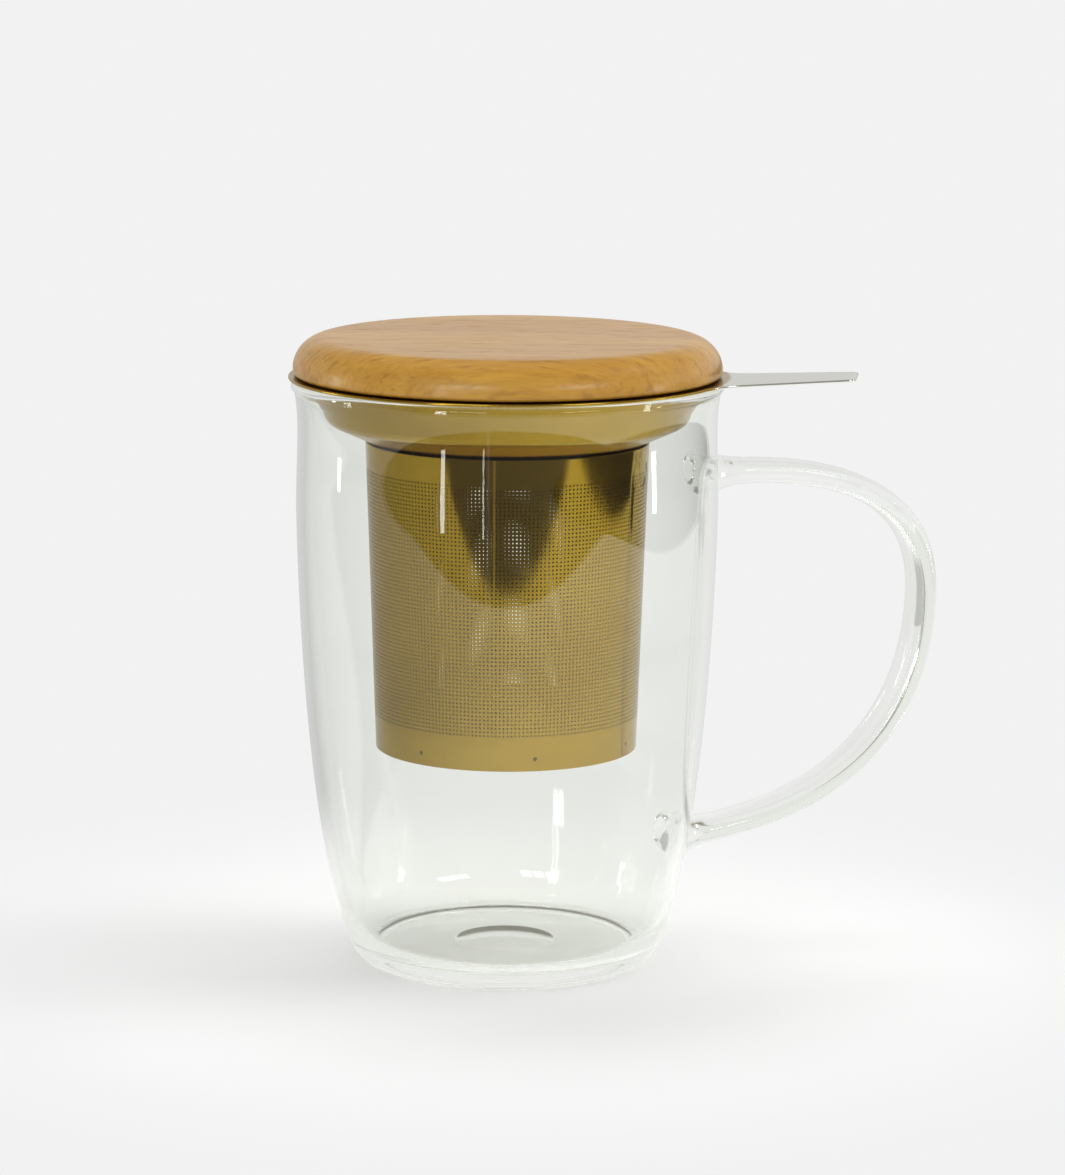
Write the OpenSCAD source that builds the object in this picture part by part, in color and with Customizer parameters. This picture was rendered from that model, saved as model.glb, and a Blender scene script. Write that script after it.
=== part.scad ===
// Glass tea mug with a lift-out metal infuser and a loose wooden lid.
// Millimetres. The origin is the centre of the foot on the table, +Z is up
// and +X points along the handle.

/* [Mug body] */
// Height of the glass from the table to the top of its lip
body_h = 120; // [100:1:144]
// Largest outer radius, at the belly
belly_r = 43; // [36:0.5:52]
// Drop of the belly below the top of the lip
belly_drop = 25; // [20:0.5:30]
// Thickness of the blown wall
wall = 1.8; // [1.5:0.1:2.2]
// Distance that the rounded heel's top lies inside the belly
heel_inset = 8.7; // [7:0.1:10.5]
// Height where the rounded heel meets the side
heel_h = 10; // [8:0.5:12]
// Distance that the ring which the mug stands on lies inside the heel's top
foot_inset = 8.8; // [7.4:0.1:10.6]
// Width of the flat on that ring
foot_w = 1.6; // [1.3:0.1:2]
// Thickness of the glass floor near its edge
floor_t = 2.8; // [2.3:0.1:3.4]
// Rise of the hollow under the floor
punt_rise = 1.8; // [1.5:0.1:2.2]
// Radius of the thick drop of glass in the middle of the floor
button_r = 10; // [8:0.5:12]
// Height of that drop above the floor around it
button_h = 1.6; // [1.3:0.1:2]
// Radius of the round bead at the lip
bead_r = 1.15; // [0.95:0.05:1.4]
// Distance that the lip flares out beyond the belly
lip_flare = 1; // [0.8:0.1:1.5]

/* [Handle] */
// Drop of the handle's upper end below the top of the lip
handle_drop = 20.8; // [17:0.2:25]
// Height of the handle's lower end above the table
handle_low_z = 22.7; // [18.9:0.2:27.3]
// Distance from the belly out to the middle of the bar, where it is furthest out
handle_room = 48.3; // [40:0.1:58]
// Drop of that furthest point below the handle's upper end
handle_sag = 26.9; // [22:0.1:32.5]
// Width of the bar, across the handle's plane
bar_w = 10.4; // [8.6:0.2:12.6]
// Thickness of the bar
bar_t = 5; // [4.1:0.1:6]
// Width of the pads fused to the wall
pad_w = 14.6; // [12:0.2:17.6]
// Height of the pads fused to the wall
pad_t = 8.6; // [7:0.2:10.4]
// Glass left between the root of a pad and the inside of the wall
fuse_skin = 0.7; // [0.5:0.1:0.9]

/* [Infuser collar] */
// Thickness of the stamped sheet
sheet = 0.5; // [0.4:0.05:0.6]
// Distance that the flange reaches beyond the lip
flange_lap = 0.5; // [0.4:0.1:1.5]
// Gap between the collar's bowl and the inside of the glass
bowl_gap = 2.3; // [1.9:0.1:2.8]
// Distance that the bowl narrows towards its lower corner
bowl_draft = 2; // [1.6:0.1:2.4]
// Depth of the bowl's wall below the flange
bowl_wall_h = 8.4; // [7:0.1:10.1]
// Width of the slope between the bowl's lower corner and the tube
slope_w = 8; // [6.6:0.1:9.6]
// Drop of that slope
slope_h = 4; // [3.3:0.1:4.8]
// Length of the neck that the tube is welded on
neck_h = 5.8; // [4.8:0.1:7]

/* [Lifting tab] */
// Turn of the infuser in the mug, from the handle's direction
tab_turn = -24; // [-180:1:180]
// Distance from the flange's edge to the tab's end
tab_len = 26.3; // [21.9:0.1:31.6]
// Width of the tab at its root, ahead of the fillets
tab_root_w = 20; // [16.5:0.5:24]
// Width of the tab at its end
tab_end_w = 12.5; // [10:0.5:15]
// Radius of the fillets between the flange and the tab
tab_fillet = 9; // [7.5:0.5:11]
// Radius of the tab's two outer corners
tab_corner = 1.8; // [1.5:0.1:2.2]
// Upward slope of the tab
tab_slope = 2.8; // [2.2:0.2:3.4]

/* [Infuser tube] */
// Length of the tube
tube_h = 63; // [52:1:76]
// Distance that the tube narrows towards its lower edge, in radius
tube_draft = 2.1; // [1.7:0.1:2.6]
// Thickness of the etched sheet
tube_sheet = 0.4; // [0.3:0.05:0.5]
// Gap between the tube's top edge and the collar's slope
tube_drop = 0.5; // [0.4:0.1:0.6]
// Number of spot welds that hold the base
weld_count = 7; // [5:1:9]
// Radius of the mark that one spot weld leaves
weld_r = 0.5; // [0.4:0.1:0.6]
// Depth of that mark
weld_depth = 0.12; // [0.1:0.01:0.15]

/* [Infuser base] */
// Height of the base cup's rim inside the tube
base_rim_h = 6; // [5:0.5:7.5]
// Radius of the base cup's rounded edge, on its outside
base_corner = 1.4; // [1.1:0.1:1.7]
// Step from the tube's lower edge up to the base cup's floor
base_step = 0.5; // [0.4:0.1:0.7]

/* [Lid] */
// Distance that the lid's edge lies inside the flange's
lid_inset = 0.9; // [0.7:0.1:1.1]
// Thickness of the lid without its plug
lid_t = 7.6; // [6.3:0.1:9.2]
// Radius of the round shoulder
lid_shoulder = 6.4; // [5.3:0.1:7.7]
// Radius of the lower edge
lid_edge = 0.9; // [0.7:0.1:1.1]
// Depth of the seal's groove below the lid's underside
groove_drop = 0.9; // [0.7:0.1:1.1]
// Depth of the groove in the plug
groove_d = 1.5; // [1.2:0.1:1.8]
// Height of the plug below its groove
plug_foot = 1.4; // [1.1:0.1:1.7]
// Radius of the plug's lower edge
plug_edge = 0.6; // [0.5:0.1:0.8]

/* [Seal] */
// Height of the seal's ring
seal_h = 2.6; // [2.1:0.1:3.2]
// Thickness of one of its two lips
seal_lip_t = 0.5; // [0.4:0.05:0.6]

/* [Fits] */
// Gap under a piece that rests on another piece
rest_gap = 0.3; // [0.25:0.05:0.4]
// Gap between pieces that are welded or sit tight
tight_gap = 0.05; // [0.04:0.01:0.06]
// Gap between the seal's lips and the collar
seal_gap = 0.3; // [0.25:0.05:0.4]
// Gap between the plug and the collar
plug_gap = 1.1; // [0.9:0.1:1.4]

/* [Hidden] */
$fn = 120;

glass = [0.86, 0.93, 0.91, 0.45];
gold = [0.76, 0.66, 0.40];
wood = [0.80, 0.60, 0.36];
silicone = [0.90, 0.90, 0.88];

// ---- curves ----

// Point at t on the cubic curve with the four control points p
function bez(p, t) = pow(1 - t, 3) * p[0] + 3 * t * pow(1 - t, 2) * p[1]
                     + 3 * t * t * (1 - t) * p[2] + pow(t, 3) * p[3];
// Direction at t on that curve
function bez_dir(p, t) = unit(pow(1 - t, 2) * (p[1] - p[0])
                              + 2 * t * (1 - t) * (p[2] - p[1])
                              + t * t * (p[3] - p[2]));
// Points on it, in n equal steps
function bez_path(p, n) = [for (i = [0:n]) bez(p, i / n)];
function unit(v) = v / norm(v);
// The direction that lies on the right of a direction in the plane
function right_of(d) = [d[1], -d[0]];
function reversed(path) = [for (i = [len(path) - 1:-1:0]) path[i]];
// The path without its first point, for a path that goes on from another
function rest_of(path) = [for (i = [1:len(path) - 1]) path[i]];

// The arc that rounds the corner b between a and c with radius r
function round_corner(a, b, c, r, steps = 8) =
    let (u = unit(a - b), v = unit(c - b),
         half = acos(u * v) / 2,
         centre = b + unit(u + v) * r / sin(half),
         from = b + u * r / tan(half) - centre,
         to = b + v * r / tan(half) - centre,
         a0 = atan2(from[1], from[0]),
         turn = atan2(from[0] * to[1] - from[1] * to[0], from * to))
    [for (i = [0:steps]) let (w = a0 + turn * i / steps) centre + r * [cos(w), sin(w)]];

// An open path through corners of the form [point, radius]
function round_path(c) =
    [for (i = [0:len(c) - 1])
        each (i == 0 || i == len(c) - 1 || c[i][1] == 0
              ? [c[i][0]]
              : round_corner(c[i - 1][0], c[i][0], c[i + 1][0], c[i][1]))];

// The path moved by d to its right
function beside(path, d) =
    [for (i = [0:len(path) - 1])
        let (a = unit(path[min(i + 1, len(path) - 1)] - path[min(i, len(path) - 2)]),
             b = unit(path[max(i, 1)] - path[max(i - 1, 0)]),
             n = unit(right_of(a) + right_of(b)))
        path[i] + n * d / (n * right_of(a))];

// The closed outline of a sheet of thickness t that lies to the right of a path
function sheet_outline(path, t) = concat(path, reversed(beside(path, t)));

// ---- mug body ----

curve_steps = 16;
belly_z = body_h - belly_drop;
heel_r = belly_r - heel_inset;
foot_r = heel_r - foot_inset;
lip_r = belly_r + lip_flare;
lip_z = body_h - bead_r;
side_h = belly_z - heel_h;
// How far each curve's inner control points lie along its stretch, as shares
heel_pull = [0.43, 0.16, 0.56];
side_pull = [0.86, 0.28, 0.1];
lip_pull = 0.32;
// Where the outer line runs into the bead, inwards from the lip and down
bead_foot = [0.7, 1.2];
// Length of the throat below the bead, and how far it draws in
throat = [6.8, 0.4];
// The outer curve of the rounded heel, of the side up to the belly and of the lip
heel_curve = [[foot_r + foot_w / 2, 0], [heel_r - foot_inset * heel_pull[0], 0],
              [heel_r - foot_inset * heel_pull[1], heel_h * heel_pull[2]],
              [heel_r, heel_h]];
side_curve = [[heel_r, heel_h],
              [heel_r + heel_inset * side_pull[0], heel_h + side_h * side_pull[1]],
              [belly_r, belly_z - side_h * side_pull[2]], [belly_r, belly_z]];
lip_curve = [[belly_r, belly_z], [belly_r, belly_z + belly_drop * lip_pull],
             [lip_r - 2 * bead_r + throat[1], lip_z - throat[0]],
             [lip_r - bead_foot[0], lip_z - bead_foot[1]]];

heel_path = bez_path(heel_curve, curve_steps);
side_path = bez_path(side_curve, curve_steps);
lip_path = bez_path(lip_curve, curve_steps);
outer_path = concat(heel_path, rest_of(side_path), rest_of(lip_path));

// The inner wall keeps the wall's thickness above the heel
inner_path = beside(concat(side_path, rest_of(lip_path)), -wall);
// The flat floor ends a little inside the foot, and a soft corner leads up to the wall
floor_r = foot_r - 1.1;
corner_run = 5;
corner_end = [1.3, 4];
inner_heel = bez_path([[floor_r, floor_t], [floor_r + corner_run, floor_t],
                       inner_path[0] - corner_end, inner_path[0]], curve_steps);
bead = [for (w = [-20:20:200]) [lip_r - bead_r, lip_z] + bead_r * [cos(w), sin(w)]];
button = bez_path([[0, floor_t + punt_rise / 4 + button_h], [button_r / 2, floor_t + button_h],
                   [button_r / 2, floor_t], [button_r, floor_t]], curve_steps);
punt = bez_path([[foot_r - foot_w / 2, 0], [foot_r - corner_run, punt_rise],
                 [foot_r / 3, punt_rise], [0, punt_rise]], curve_steps);

// Outer radius of the glass at height z
function glass_r(z) = lookup(z, [for (p = outer_path) [p[1], p[0]]]);
// The outward normal of the glass at height z, in the XZ plane
function glass_out(z) = unit(right_of([glass_r(z + 1) - glass_r(z - 1), 2]));

module mug_body() {
    color(glass)
    rotate_extrude()
        polygon(concat(outer_path, bead, reversed(inner_path), rest_of(reversed(inner_heel)),
                       reversed(button), reversed(punt)));
}

// ---- handle ----

// The bar's middle line in the XZ plane, as an upper and a lower curve
fuse_depth = wall - fuse_skin;
handle_top_z = body_h - handle_drop;
handle_out_z = handle_top_z - handle_sag;
top_out = glass_out(handle_top_z);
low_out = glass_out(handle_low_z);
top_anchor = [glass_r(handle_top_z), handle_top_z] - fuse_depth * top_out;
low_anchor = [glass_r(handle_low_z), handle_low_z] - fuse_depth * low_out;
out_point = [belly_r + handle_room, handle_out_z];
// How far the inner control points lie along each stretch, as shares
upper_pull = [0.44, 0.82];
lower_pull = [0.46, 0.27];
// Height of the control points above the handle's two ends
end_lift = [1.4, 2.7];
upper_curve = [top_anchor, out_point + [-upper_pull[0] * handle_room, handle_sag + end_lift[0]],
               out_point + [0, upper_pull[1] * handle_sag], out_point];
lower_curve = [out_point, out_point - [0, lower_pull[0] * (handle_out_z - handle_low_z)],
               [out_point[0] - lower_pull[1] * handle_room, handle_low_z + end_lift[1]],
               low_anchor];
bar_steps = 34;
bar_sides = 24;
// Distance over which a pad narrows to the bar, and how sharply
flare = 3.2;
flare_power = 1.6;
// The cross-sections lie closer together at the pads
crowding = 1.35;
// A value below 1 makes a section fuller than an ellipse
fullness = 0.86;

// Each entry is [place, direction] of one cross-section
bar_line = concat([for (i = [0:bar_steps])
                       let (t = pow(i / bar_steps, crowding))
                       [bez(upper_curve, t), bez_dir(upper_curve, t)]],
                  [for (i = [1:bar_steps])
                       let (t = 1 - pow(1 - i / bar_steps, crowding))
                       [bez(lower_curve, t), bez_dir(lower_curve, t)]]);

// How much of the pad is left at a place on the bar: 1 in the wall, 0 on the bar
function pad_share(p) =
    let (away = max(0, min(norm(p - top_anchor), norm(p - low_anchor)) - fuse_depth))
    exp(-pow(away / flare, flare_power));

// Towards the wall a section turns until it lies along the glass
function pad_dir(p) = norm(p - top_anchor) < norm(p - low_anchor) ? top_out : -low_out;

function bar_ring(p, d) =
    let (k = pad_share(p), n = right_of(unit(d * (1 - k) + pad_dir(p) * k)),
         a = (bar_w + (pad_w - bar_w) * k) / 2,
         b = (bar_t + (pad_t - bar_t) * k) / 2)
    [for (i = [0:bar_sides - 1])
        let (w = 360 * i / bar_sides,
             y = a * rounded_cos(w), out = b * rounded_sin(w))
        [p[0] + n[0] * out, y, p[1] + n[1] * out]];

function rounded_cos(w) = sign(cos(w)) * pow(abs(cos(w)), fullness);
function rounded_sin(w) = sign(sin(w)) * pow(abs(sin(w)), fullness);

module swept(rings) {
    n = len(rings[0]);
    last = (len(rings) - 1) * n;
    polyhedron(
        points = [for (r = rings) each r],
        faces = concat(
            [for (i = [0:len(rings) - 2], j = [0:n - 1])
                let (k = (j + 1) % n)
                each [[i * n + j, i * n + k, (i + 1) * n + k],
                      [i * n + j, (i + 1) * n + k, (i + 1) * n + j]]],
            [for (j = [1:n - 2]) [0, j + 1, j]],
            [for (j = [1:n - 2]) [last, last + j, last + j + 1]]));
}

module mug_handle() {
    color(glass)
    swept([for (s = bar_line) bar_ring(s[0], s[1])]);
}

// ---- infuser ----

flange_z = body_h + rest_gap;
flange_top = flange_z + sheet;
flange_r = lip_r + flange_lap;
// The bowl's outer radius at its top and at its lower corner
bowl_top_r = belly_r - wall - bowl_gap;
bowl_low_r = bowl_top_r - bowl_draft;
bowl_corner_z = flange_z - bowl_wall_h;
neck_z = bowl_corner_z - slope_h;
neck_low_z = neck_z - neck_h;
tube_top_z = neck_z - tube_drop;
tube_low_z = tube_top_z - tube_h;
tube_top_r = bowl_low_r - slope_w;
tube_low_r = tube_top_r - tube_draft;
// Outer radius of the tube at height z
function tube_r(z) = tube_low_r + (tube_top_r - tube_low_r) * (z - tube_low_z) / tube_h;
// Inner radius of the tube at height z
function tube_inner_r(z) = tube_r(z) - tube_sheet;
neck_r = tube_inner_r(neck_low_z) - tight_gap;

// Radii of the bends at the bowl's top, at its lower corner and at the neck, on the outside
bends = [2.3, 3.5, 1];
// The collar's outside, from the flange's edge to the foot of the neck
collar_path = round_path([[[flange_r, flange_z], 0],
                          [[bowl_top_r, flange_z], bends[0]],
                          [[bowl_low_r, bowl_corner_z], bends[1]],
                          [[neck_r, neck_z], bends[2]],
                          [[neck_r, neck_low_z], 0]]);
// Inner radius of the bowl at height z, between its two bends
function bowl_inner_r(z) =
    bowl_low_r + (bowl_top_r - bowl_low_r) * (z - bowl_corner_z) / bowl_wall_h - sheet * 1.05;

// The tab's outline in plan, with a fillet against the flange on each side
tab_reach = flange_r + tab_len;
tab_lean = atan((tab_root_w - tab_end_w) / 2 / tab_len);
edge_normal = [sin(tab_lean), cos(tab_lean)];
edge_d = edge_normal * [tab_reach, tab_end_w / 2];
// The fillet's circle cuts slightly into the flange, so that its end lies inside it
fillet_bite = 0.25;
fillet_far = flange_r + tab_fillet - fillet_bite;
fillet_at = asin((edge_d + tab_fillet) / fillet_far) - tab_lean;
fillet_centre = fillet_far * [cos(fillet_at), sin(fillet_at)];
// The tab begins inside the flange by these lengths, so that the two are one sheet
tab_sink = [0.4, 0.6];
tab_start = flange_r * cos(fillet_at) - tab_sink[0];
tab_side = concat(
    [[tab_start, flange_r * sin(fillet_at) - tab_sink[1]]],
    [for (i = [0:10])
        let (w = fillet_at + 180 + (90 - tab_lean - fillet_at) * i / 10)
        fillet_centre + tab_fillet * [cos(w), sin(w)]],
    round_corner([tab_reach, tab_end_w / 2] - right_of(edge_normal) * tab_len,
                 [tab_reach, tab_end_w / 2], [tab_reach, 0], tab_corner));
tab_outline = concat(tab_side, [for (p = reversed(tab_side)) [p[0], -p[1]]]);

module tab() {
    translate([tab_start, 0, flange_z])
    rotate([0, -tab_slope, 0])
    translate([-tab_start, 0, 0])
    linear_extrude(sheet)
        polygon(tab_outline);
}

module infuser_collar() {
    color(gold)
    rotate(tab_turn) {
        rotate_extrude()
            polygon(sheet_outline(collar_path, sheet));
        tab();
    }
}

// Height of the spot welds, a third of the way up the base cup's rim
weld_z = tube_low_z + base_step + base_rim_h / 3;

module infuser_mesh() {
    color(gold)
    difference() {
        rotate_extrude()
            polygon([[tube_r(tube_low_z), tube_low_z], [tube_r(tube_top_z), tube_top_z],
                     [tube_inner_r(tube_top_z), tube_top_z],
                     [tube_inner_r(tube_low_z), tube_low_z]]);
        for (i = [0:weld_count - 1])
            rotate(tab_turn + 360 * (i + 0.5) / weld_count)
            translate([tube_r(weld_z) - weld_depth, 0, weld_z])
            rotate([0, 90, 0])
            cylinder(h = 1, r = weld_r, $fn = 24);
    }
}

base_z = tube_low_z + base_step;
// The base cup's outside, from the middle of its floor to the top of its rim
base_path = round_path([[[0, base_z], 0],
                        [[tube_inner_r(base_z) - tight_gap, base_z], base_corner],
                        [[tube_inner_r(base_z + base_rim_h) - tight_gap,
                          base_z + base_rim_h], 0]]);

module infuser_base() {
    color(gold)
    rotate_extrude()
        polygon(sheet_outline(base_path, -tube_sheet));
}

// ---- lid ----

lid_z = flange_top + rest_gap;
lid_r = flange_r - lid_inset;
// The shoulder leaves a short upright band above the lower edge
lid_band = 0.2;
shoulder = min(lid_shoulder, lid_t - lid_edge - lid_band);
groove_top = lid_z - groove_drop;
groove_low = groove_top - seal_h - 2 * tight_gap;
plug_z = groove_low - plug_foot;
plug_r = bowl_inner_r(plug_z) - plug_gap;
groove_r = plug_r - groove_d;

lid_path = round_path([[[0, plug_z], 0],
                       [[plug_r, plug_z], plug_edge],
                       [[plug_r, groove_low], 0],
                       [[groove_r, groove_low], 0],
                       [[groove_r, groove_top], 0],
                       [[plug_r, groove_top], 0],
                       [[plug_r, lid_z], 0],
                       [[lid_r, lid_z], lid_edge],
                       [[lid_r, lid_z + lid_t], shoulder],
                       [[0, lid_z + lid_t], 0]]);

module lid_disc() {
    color(wood)
    rotate_extrude()
        polygon(lid_path);
}

seal_low = groove_low + tight_gap;
seal_top = seal_low + seal_h;
seal_in = groove_r + tight_gap;
// The ring stands this far out of the groove
ring_proud = 0.2;
seal_back = plug_r + ring_proud;
// A lip leans upwards from the ring to the collar's bowl, and thins towards its tip
lip_lean = 0.5;
tip_share = 0.6;
function seal_lip(z) =
    let (tip = bowl_inner_r(z) - seal_gap)
    [[seal_back, z], [tip, z + lip_lean], [tip, z + lip_lean + seal_lip_t * tip_share],
     [seal_back, z + seal_lip_t]];
// Heights of the two lips' roots
lip_heights = [seal_low + 0.2, seal_low + seal_h / 2 + 0.1];

module lid_seal() {
    color(silicone)
    rotate_extrude()
        polygon(concat([[seal_in, seal_low], [seal_back, seal_low]],
                       seal_lip(lip_heights[0]), seal_lip(lip_heights[1]),
                       [[seal_back, seal_top], [seal_in, seal_top]]));
}

mug_body();
mug_handle();
infuser_collar();
infuser_mesh();
infuser_base();
lid_disc();
lid_seal();
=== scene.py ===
"""Looks of a glass tea mug with a lift-out gold-coloured infuser and a loose wooden lid.

Sizes are in millimetres and turn into metres where a mesh is made. The origin is the middle
of the foot, +Z is up and +X points along the handle.
"""

import logging
import math
from dataclasses import dataclass
from enum import Enum
from typing import Callable, ClassVar, Iterable, Sequence

import bmesh
import bpy
import numpy as np
from mathutils import Matrix, Vector
from mathutils.geometry import delaunay_2d_cdt


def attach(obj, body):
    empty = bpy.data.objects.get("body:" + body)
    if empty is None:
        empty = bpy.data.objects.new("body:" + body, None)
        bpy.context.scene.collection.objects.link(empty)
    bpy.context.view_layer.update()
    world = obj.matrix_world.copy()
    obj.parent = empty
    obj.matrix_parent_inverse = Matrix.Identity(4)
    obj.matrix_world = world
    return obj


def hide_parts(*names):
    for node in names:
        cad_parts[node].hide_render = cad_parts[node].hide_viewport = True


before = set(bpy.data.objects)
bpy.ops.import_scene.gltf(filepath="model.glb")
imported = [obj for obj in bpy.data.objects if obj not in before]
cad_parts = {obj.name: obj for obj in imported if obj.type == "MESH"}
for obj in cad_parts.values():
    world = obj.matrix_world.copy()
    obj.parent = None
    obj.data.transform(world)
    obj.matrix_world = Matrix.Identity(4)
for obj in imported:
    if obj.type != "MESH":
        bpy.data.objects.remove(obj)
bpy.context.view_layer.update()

LOG = logging.getLogger("tea_mug")
MM = 0.001
TOUCHING = 1e-7

Path = np.ndarray
Colour = tuple[float, float, float]
Range = tuple[float, float]
Socket = bpy.types.NodeSocket
Faces = list[tuple[int, ...]]
Cell = tuple[int, int]

# Each neighbour of a lattice cell: its step in rows and columns, then the two corners of the
# edge between them, in the order that makes a wall there face outwards.
NEIGHBOURS: tuple[tuple[int, int, Cell, Cell], ...] = (
    (-1, 0, (0, 0), (0, 1)), (1, 0, (1, 1), (1, 0)),
    (0, -1, (1, 0), (0, 0)), (0, 1, (0, 1), (1, 1)))


# ---- curves ----


def cubic(points: Sequence[Sequence[float]], steps: int) -> Path:
    """Samples a cubic curve.

    Args:
        points: its four control points.
        steps: how many equal steps it is cut into.

    Returns:
        steps + 1 points.
    """
    p = np.asarray(points, float)
    t = np.linspace(0.0, 1.0, steps + 1)[:, None]
    return (1 - t) ** 3 * p[0] + 3 * t * (1 - t) ** 2 * p[1] + 3 * t * t * (1 - t) * p[2] + t**3 * p[3]


def cubic_direction(points: Sequence[Sequence[float]], steps: int) -> Path:
    """The unit direction of a cubic curve at the points that cubic() gives.

    Args:
        points: its four control points.
        steps: how many equal steps it is cut into.

    Returns:
        steps + 1 unit vectors.
    """
    p = np.asarray(points, float)
    t = np.linspace(0.0, 1.0, steps + 1)[:, None]
    d = (1 - t) ** 2 * (p[1] - p[0]) + 2 * t * (1 - t) * (p[2] - p[1]) + t * t * (p[3] - p[2])
    return d / np.linalg.norm(d, axis=1, keepdims=True)


def joined(*paths: Path) -> Path:
    """Puts paths end to end and drops the points that repeat where they meet.

    Args:
        paths: the paths in their order.

    Returns:
        One path.
    """
    points = np.concatenate([np.asarray(p, float) for p in paths])
    apart = np.linalg.norm(np.diff(points, axis=0), axis=1) > TOUCHING
    return points[np.concatenate([[True], apart])]


def arc(centre: Sequence[float], radius: float, start: float, end: float, steps: int) -> Path:
    """Points on a circle.

    Args:
        centre: the circle's middle.
        radius: its radius.
        start: the first point's angle in degrees.
        end: the last point's angle in degrees.
        steps: how many equal steps lie between them.

    Returns:
        steps + 1 points.
    """
    w = np.radians(np.linspace(start, end, steps + 1))
    return np.asarray(centre, float) + radius * np.stack([np.cos(w), np.sin(w)], axis=1)


def rounded(corners: Sequence[tuple[Sequence[float], float]], steps: int = 8) -> Path:
    """An open path with rounded corners.

    Args:
        corners: each corner's point and radius; a radius of 0 keeps it sharp.
        steps: how many steps each round takes.

    Returns:
        The points of the path.
    """
    out: list[np.ndarray] = []
    for i, (point, radius) in enumerate(corners):
        b = np.asarray(point, float)
        if radius == 0 or i in (0, len(corners) - 1):
            out.append(b)
            continue
        u = np.asarray(corners[i - 1][0], float) - b
        v = np.asarray(corners[i + 1][0], float) - b
        u, v = u / np.linalg.norm(u), v / np.linalg.norm(v)
        half = math.acos(float(np.clip(u @ v, -1, 1))) / 2
        centre = b + (u + v) / np.linalg.norm(u + v) * radius / math.sin(half)
        first = b + u * radius / math.tan(half) - centre
        last = b + v * radius / math.tan(half) - centre
        start = math.atan2(first[1], first[0])
        turn = math.atan2(first[0] * last[1] - first[1] * last[0], float(first @ last))
        out += list(arc(centre, radius, math.degrees(start), math.degrees(start + turn), steps))
    return np.array(out)


def beside(path: Path, distance: float) -> Path:
    """The path moved sideways, with its corners kept parallel.

    Args:
        path: at least two points.
        distance: how far it moves to its right, or to its left below 0.

    Returns:
        As many points.
    """
    step = np.diff(path, axis=0)
    step /= np.linalg.norm(step, axis=1, keepdims=True)
    right = np.stack([step[:, 1], -step[:, 0]], axis=1)
    before = np.concatenate([right[:1], right])
    after = np.concatenate([right, right[-1:]])
    n = before + after
    n /= np.linalg.norm(n, axis=1, keepdims=True)
    return path + n * distance / np.sum(n * before, axis=1, keepdims=True)


def smooth_step(low: float, high: float, x: np.ndarray) -> np.ndarray:
    """0 below low, 1 above high and an even S between them.

    Args:
        low: where the rise starts.
        high: where it ends.
        x: the values it is taken at.

    Returns:
        Values from 0 to 1.
    """
    t = np.clip((x - low) / (high - low), 0.0, 1.0)
    return t * t * (3 - 2 * t)


# ---- meshes ----


@dataclass
class Draft:
    """Vertices in millimetres and faces, before they become a mesh."""

    verts: np.ndarray
    faces: Faces

    def joined_with(self, other: "Draft") -> "Draft":
        """This draft and another one in a single draft.

        Args:
            other: the draft that is added.

        Returns:
            A new draft.
        """
        shift = len(self.verts)
        faces = self.faces + [tuple(i + shift for i in f) for f in other.faces]
        return Draft(np.concatenate([self.verts, other.verts]), faces)

    def turned(self, degrees: float) -> "Draft":
        """This draft turned about Z.

        Args:
            degrees: the turn, anticlockwise from above.

        Returns:
            A new draft.
        """
        c, s = math.cos(math.radians(degrees)), math.sin(math.radians(degrees))
        turn = np.array([[c, s, 0], [-s, c, 0], [0, 0, 1]])
        return Draft(self.verts @ turn, self.faces)

    def object(self, name: str, sharp_angle: float = 35.0, weld: bool = True) -> bpy.types.Object:
        """Makes the mesh object.

        Args:
            name: the piece's name.
            sharp_angle: edges that bend more than this, in degrees, are kept sharp.
            weld: whether doubled vertices are merged and the faces made to point outwards.

        Returns:
            The object, linked to the scene.
        """
        mesh = bpy.data.meshes.new(name)
        mesh.from_pydata((self.verts * MM).tolist(), [], self.faces)
        if weld:
            tidy_mesh(mesh)
        mesh.shade_smooth()
        mesh.set_sharp_from_angle(angle=math.radians(sharp_angle))
        made = bpy.data.objects.new(name, mesh)
        bpy.context.scene.collection.objects.link(made)
        return made


def tidy_mesh(mesh: bpy.types.Mesh) -> None:
    """Merges doubled vertices and turns all faces outwards.

    Args:
        mesh: the mesh, which is changed in place.
    """
    bm = bmesh.new()
    bm.from_mesh(mesh)
    bmesh.ops.remove_doubles(bm, verts=bm.verts, dist=TOUCHING)
    bmesh.ops.recalc_face_normals(bm, faces=bm.faces)
    bm.to_mesh(mesh)
    bm.free()
    mesh.update()


def revolve(outline: Path, segments: int, closed: bool = True) -> Draft:
    """Turns an outline about Z.

    Args:
        outline: points of radius and height. Points on the axis become one vertex each.
        segments: how many steps the turn takes.
        closed: whether the outline's last point joins its first.

    Returns:
        The draft of the solid.
    """
    w = np.linspace(0, 2 * math.pi, segments, endpoint=False)
    verts: list[np.ndarray] = []
    rings: list[tuple[int, bool]] = []
    count = 0
    for r, z in outline:
        on_axis = r < 1e-9
        rings.append((count, on_axis))
        ring = np.array([[0.0, 0.0, z]]) if on_axis else np.stack(
            [r * np.cos(w), r * np.sin(w), np.full(segments, z)], axis=1)
        verts.append(ring)
        count += len(ring)
    faces: Faces = []
    for k, (a, a_point) in enumerate(rings if closed else rings[:-1]):
        b, b_point = rings[(k + 1) % len(rings)]
        if a_point and b_point:
            continue
        for j in range(segments):
            n = (j + 1) % segments
            if a_point:
                faces.append((a, b + j, b + n))
            elif b_point:
                faces.append((a + j, b, a + n))
            else:
                faces.append((a + j, b + j, b + n, a + n))
    return Draft(np.concatenate(verts), faces)


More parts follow.
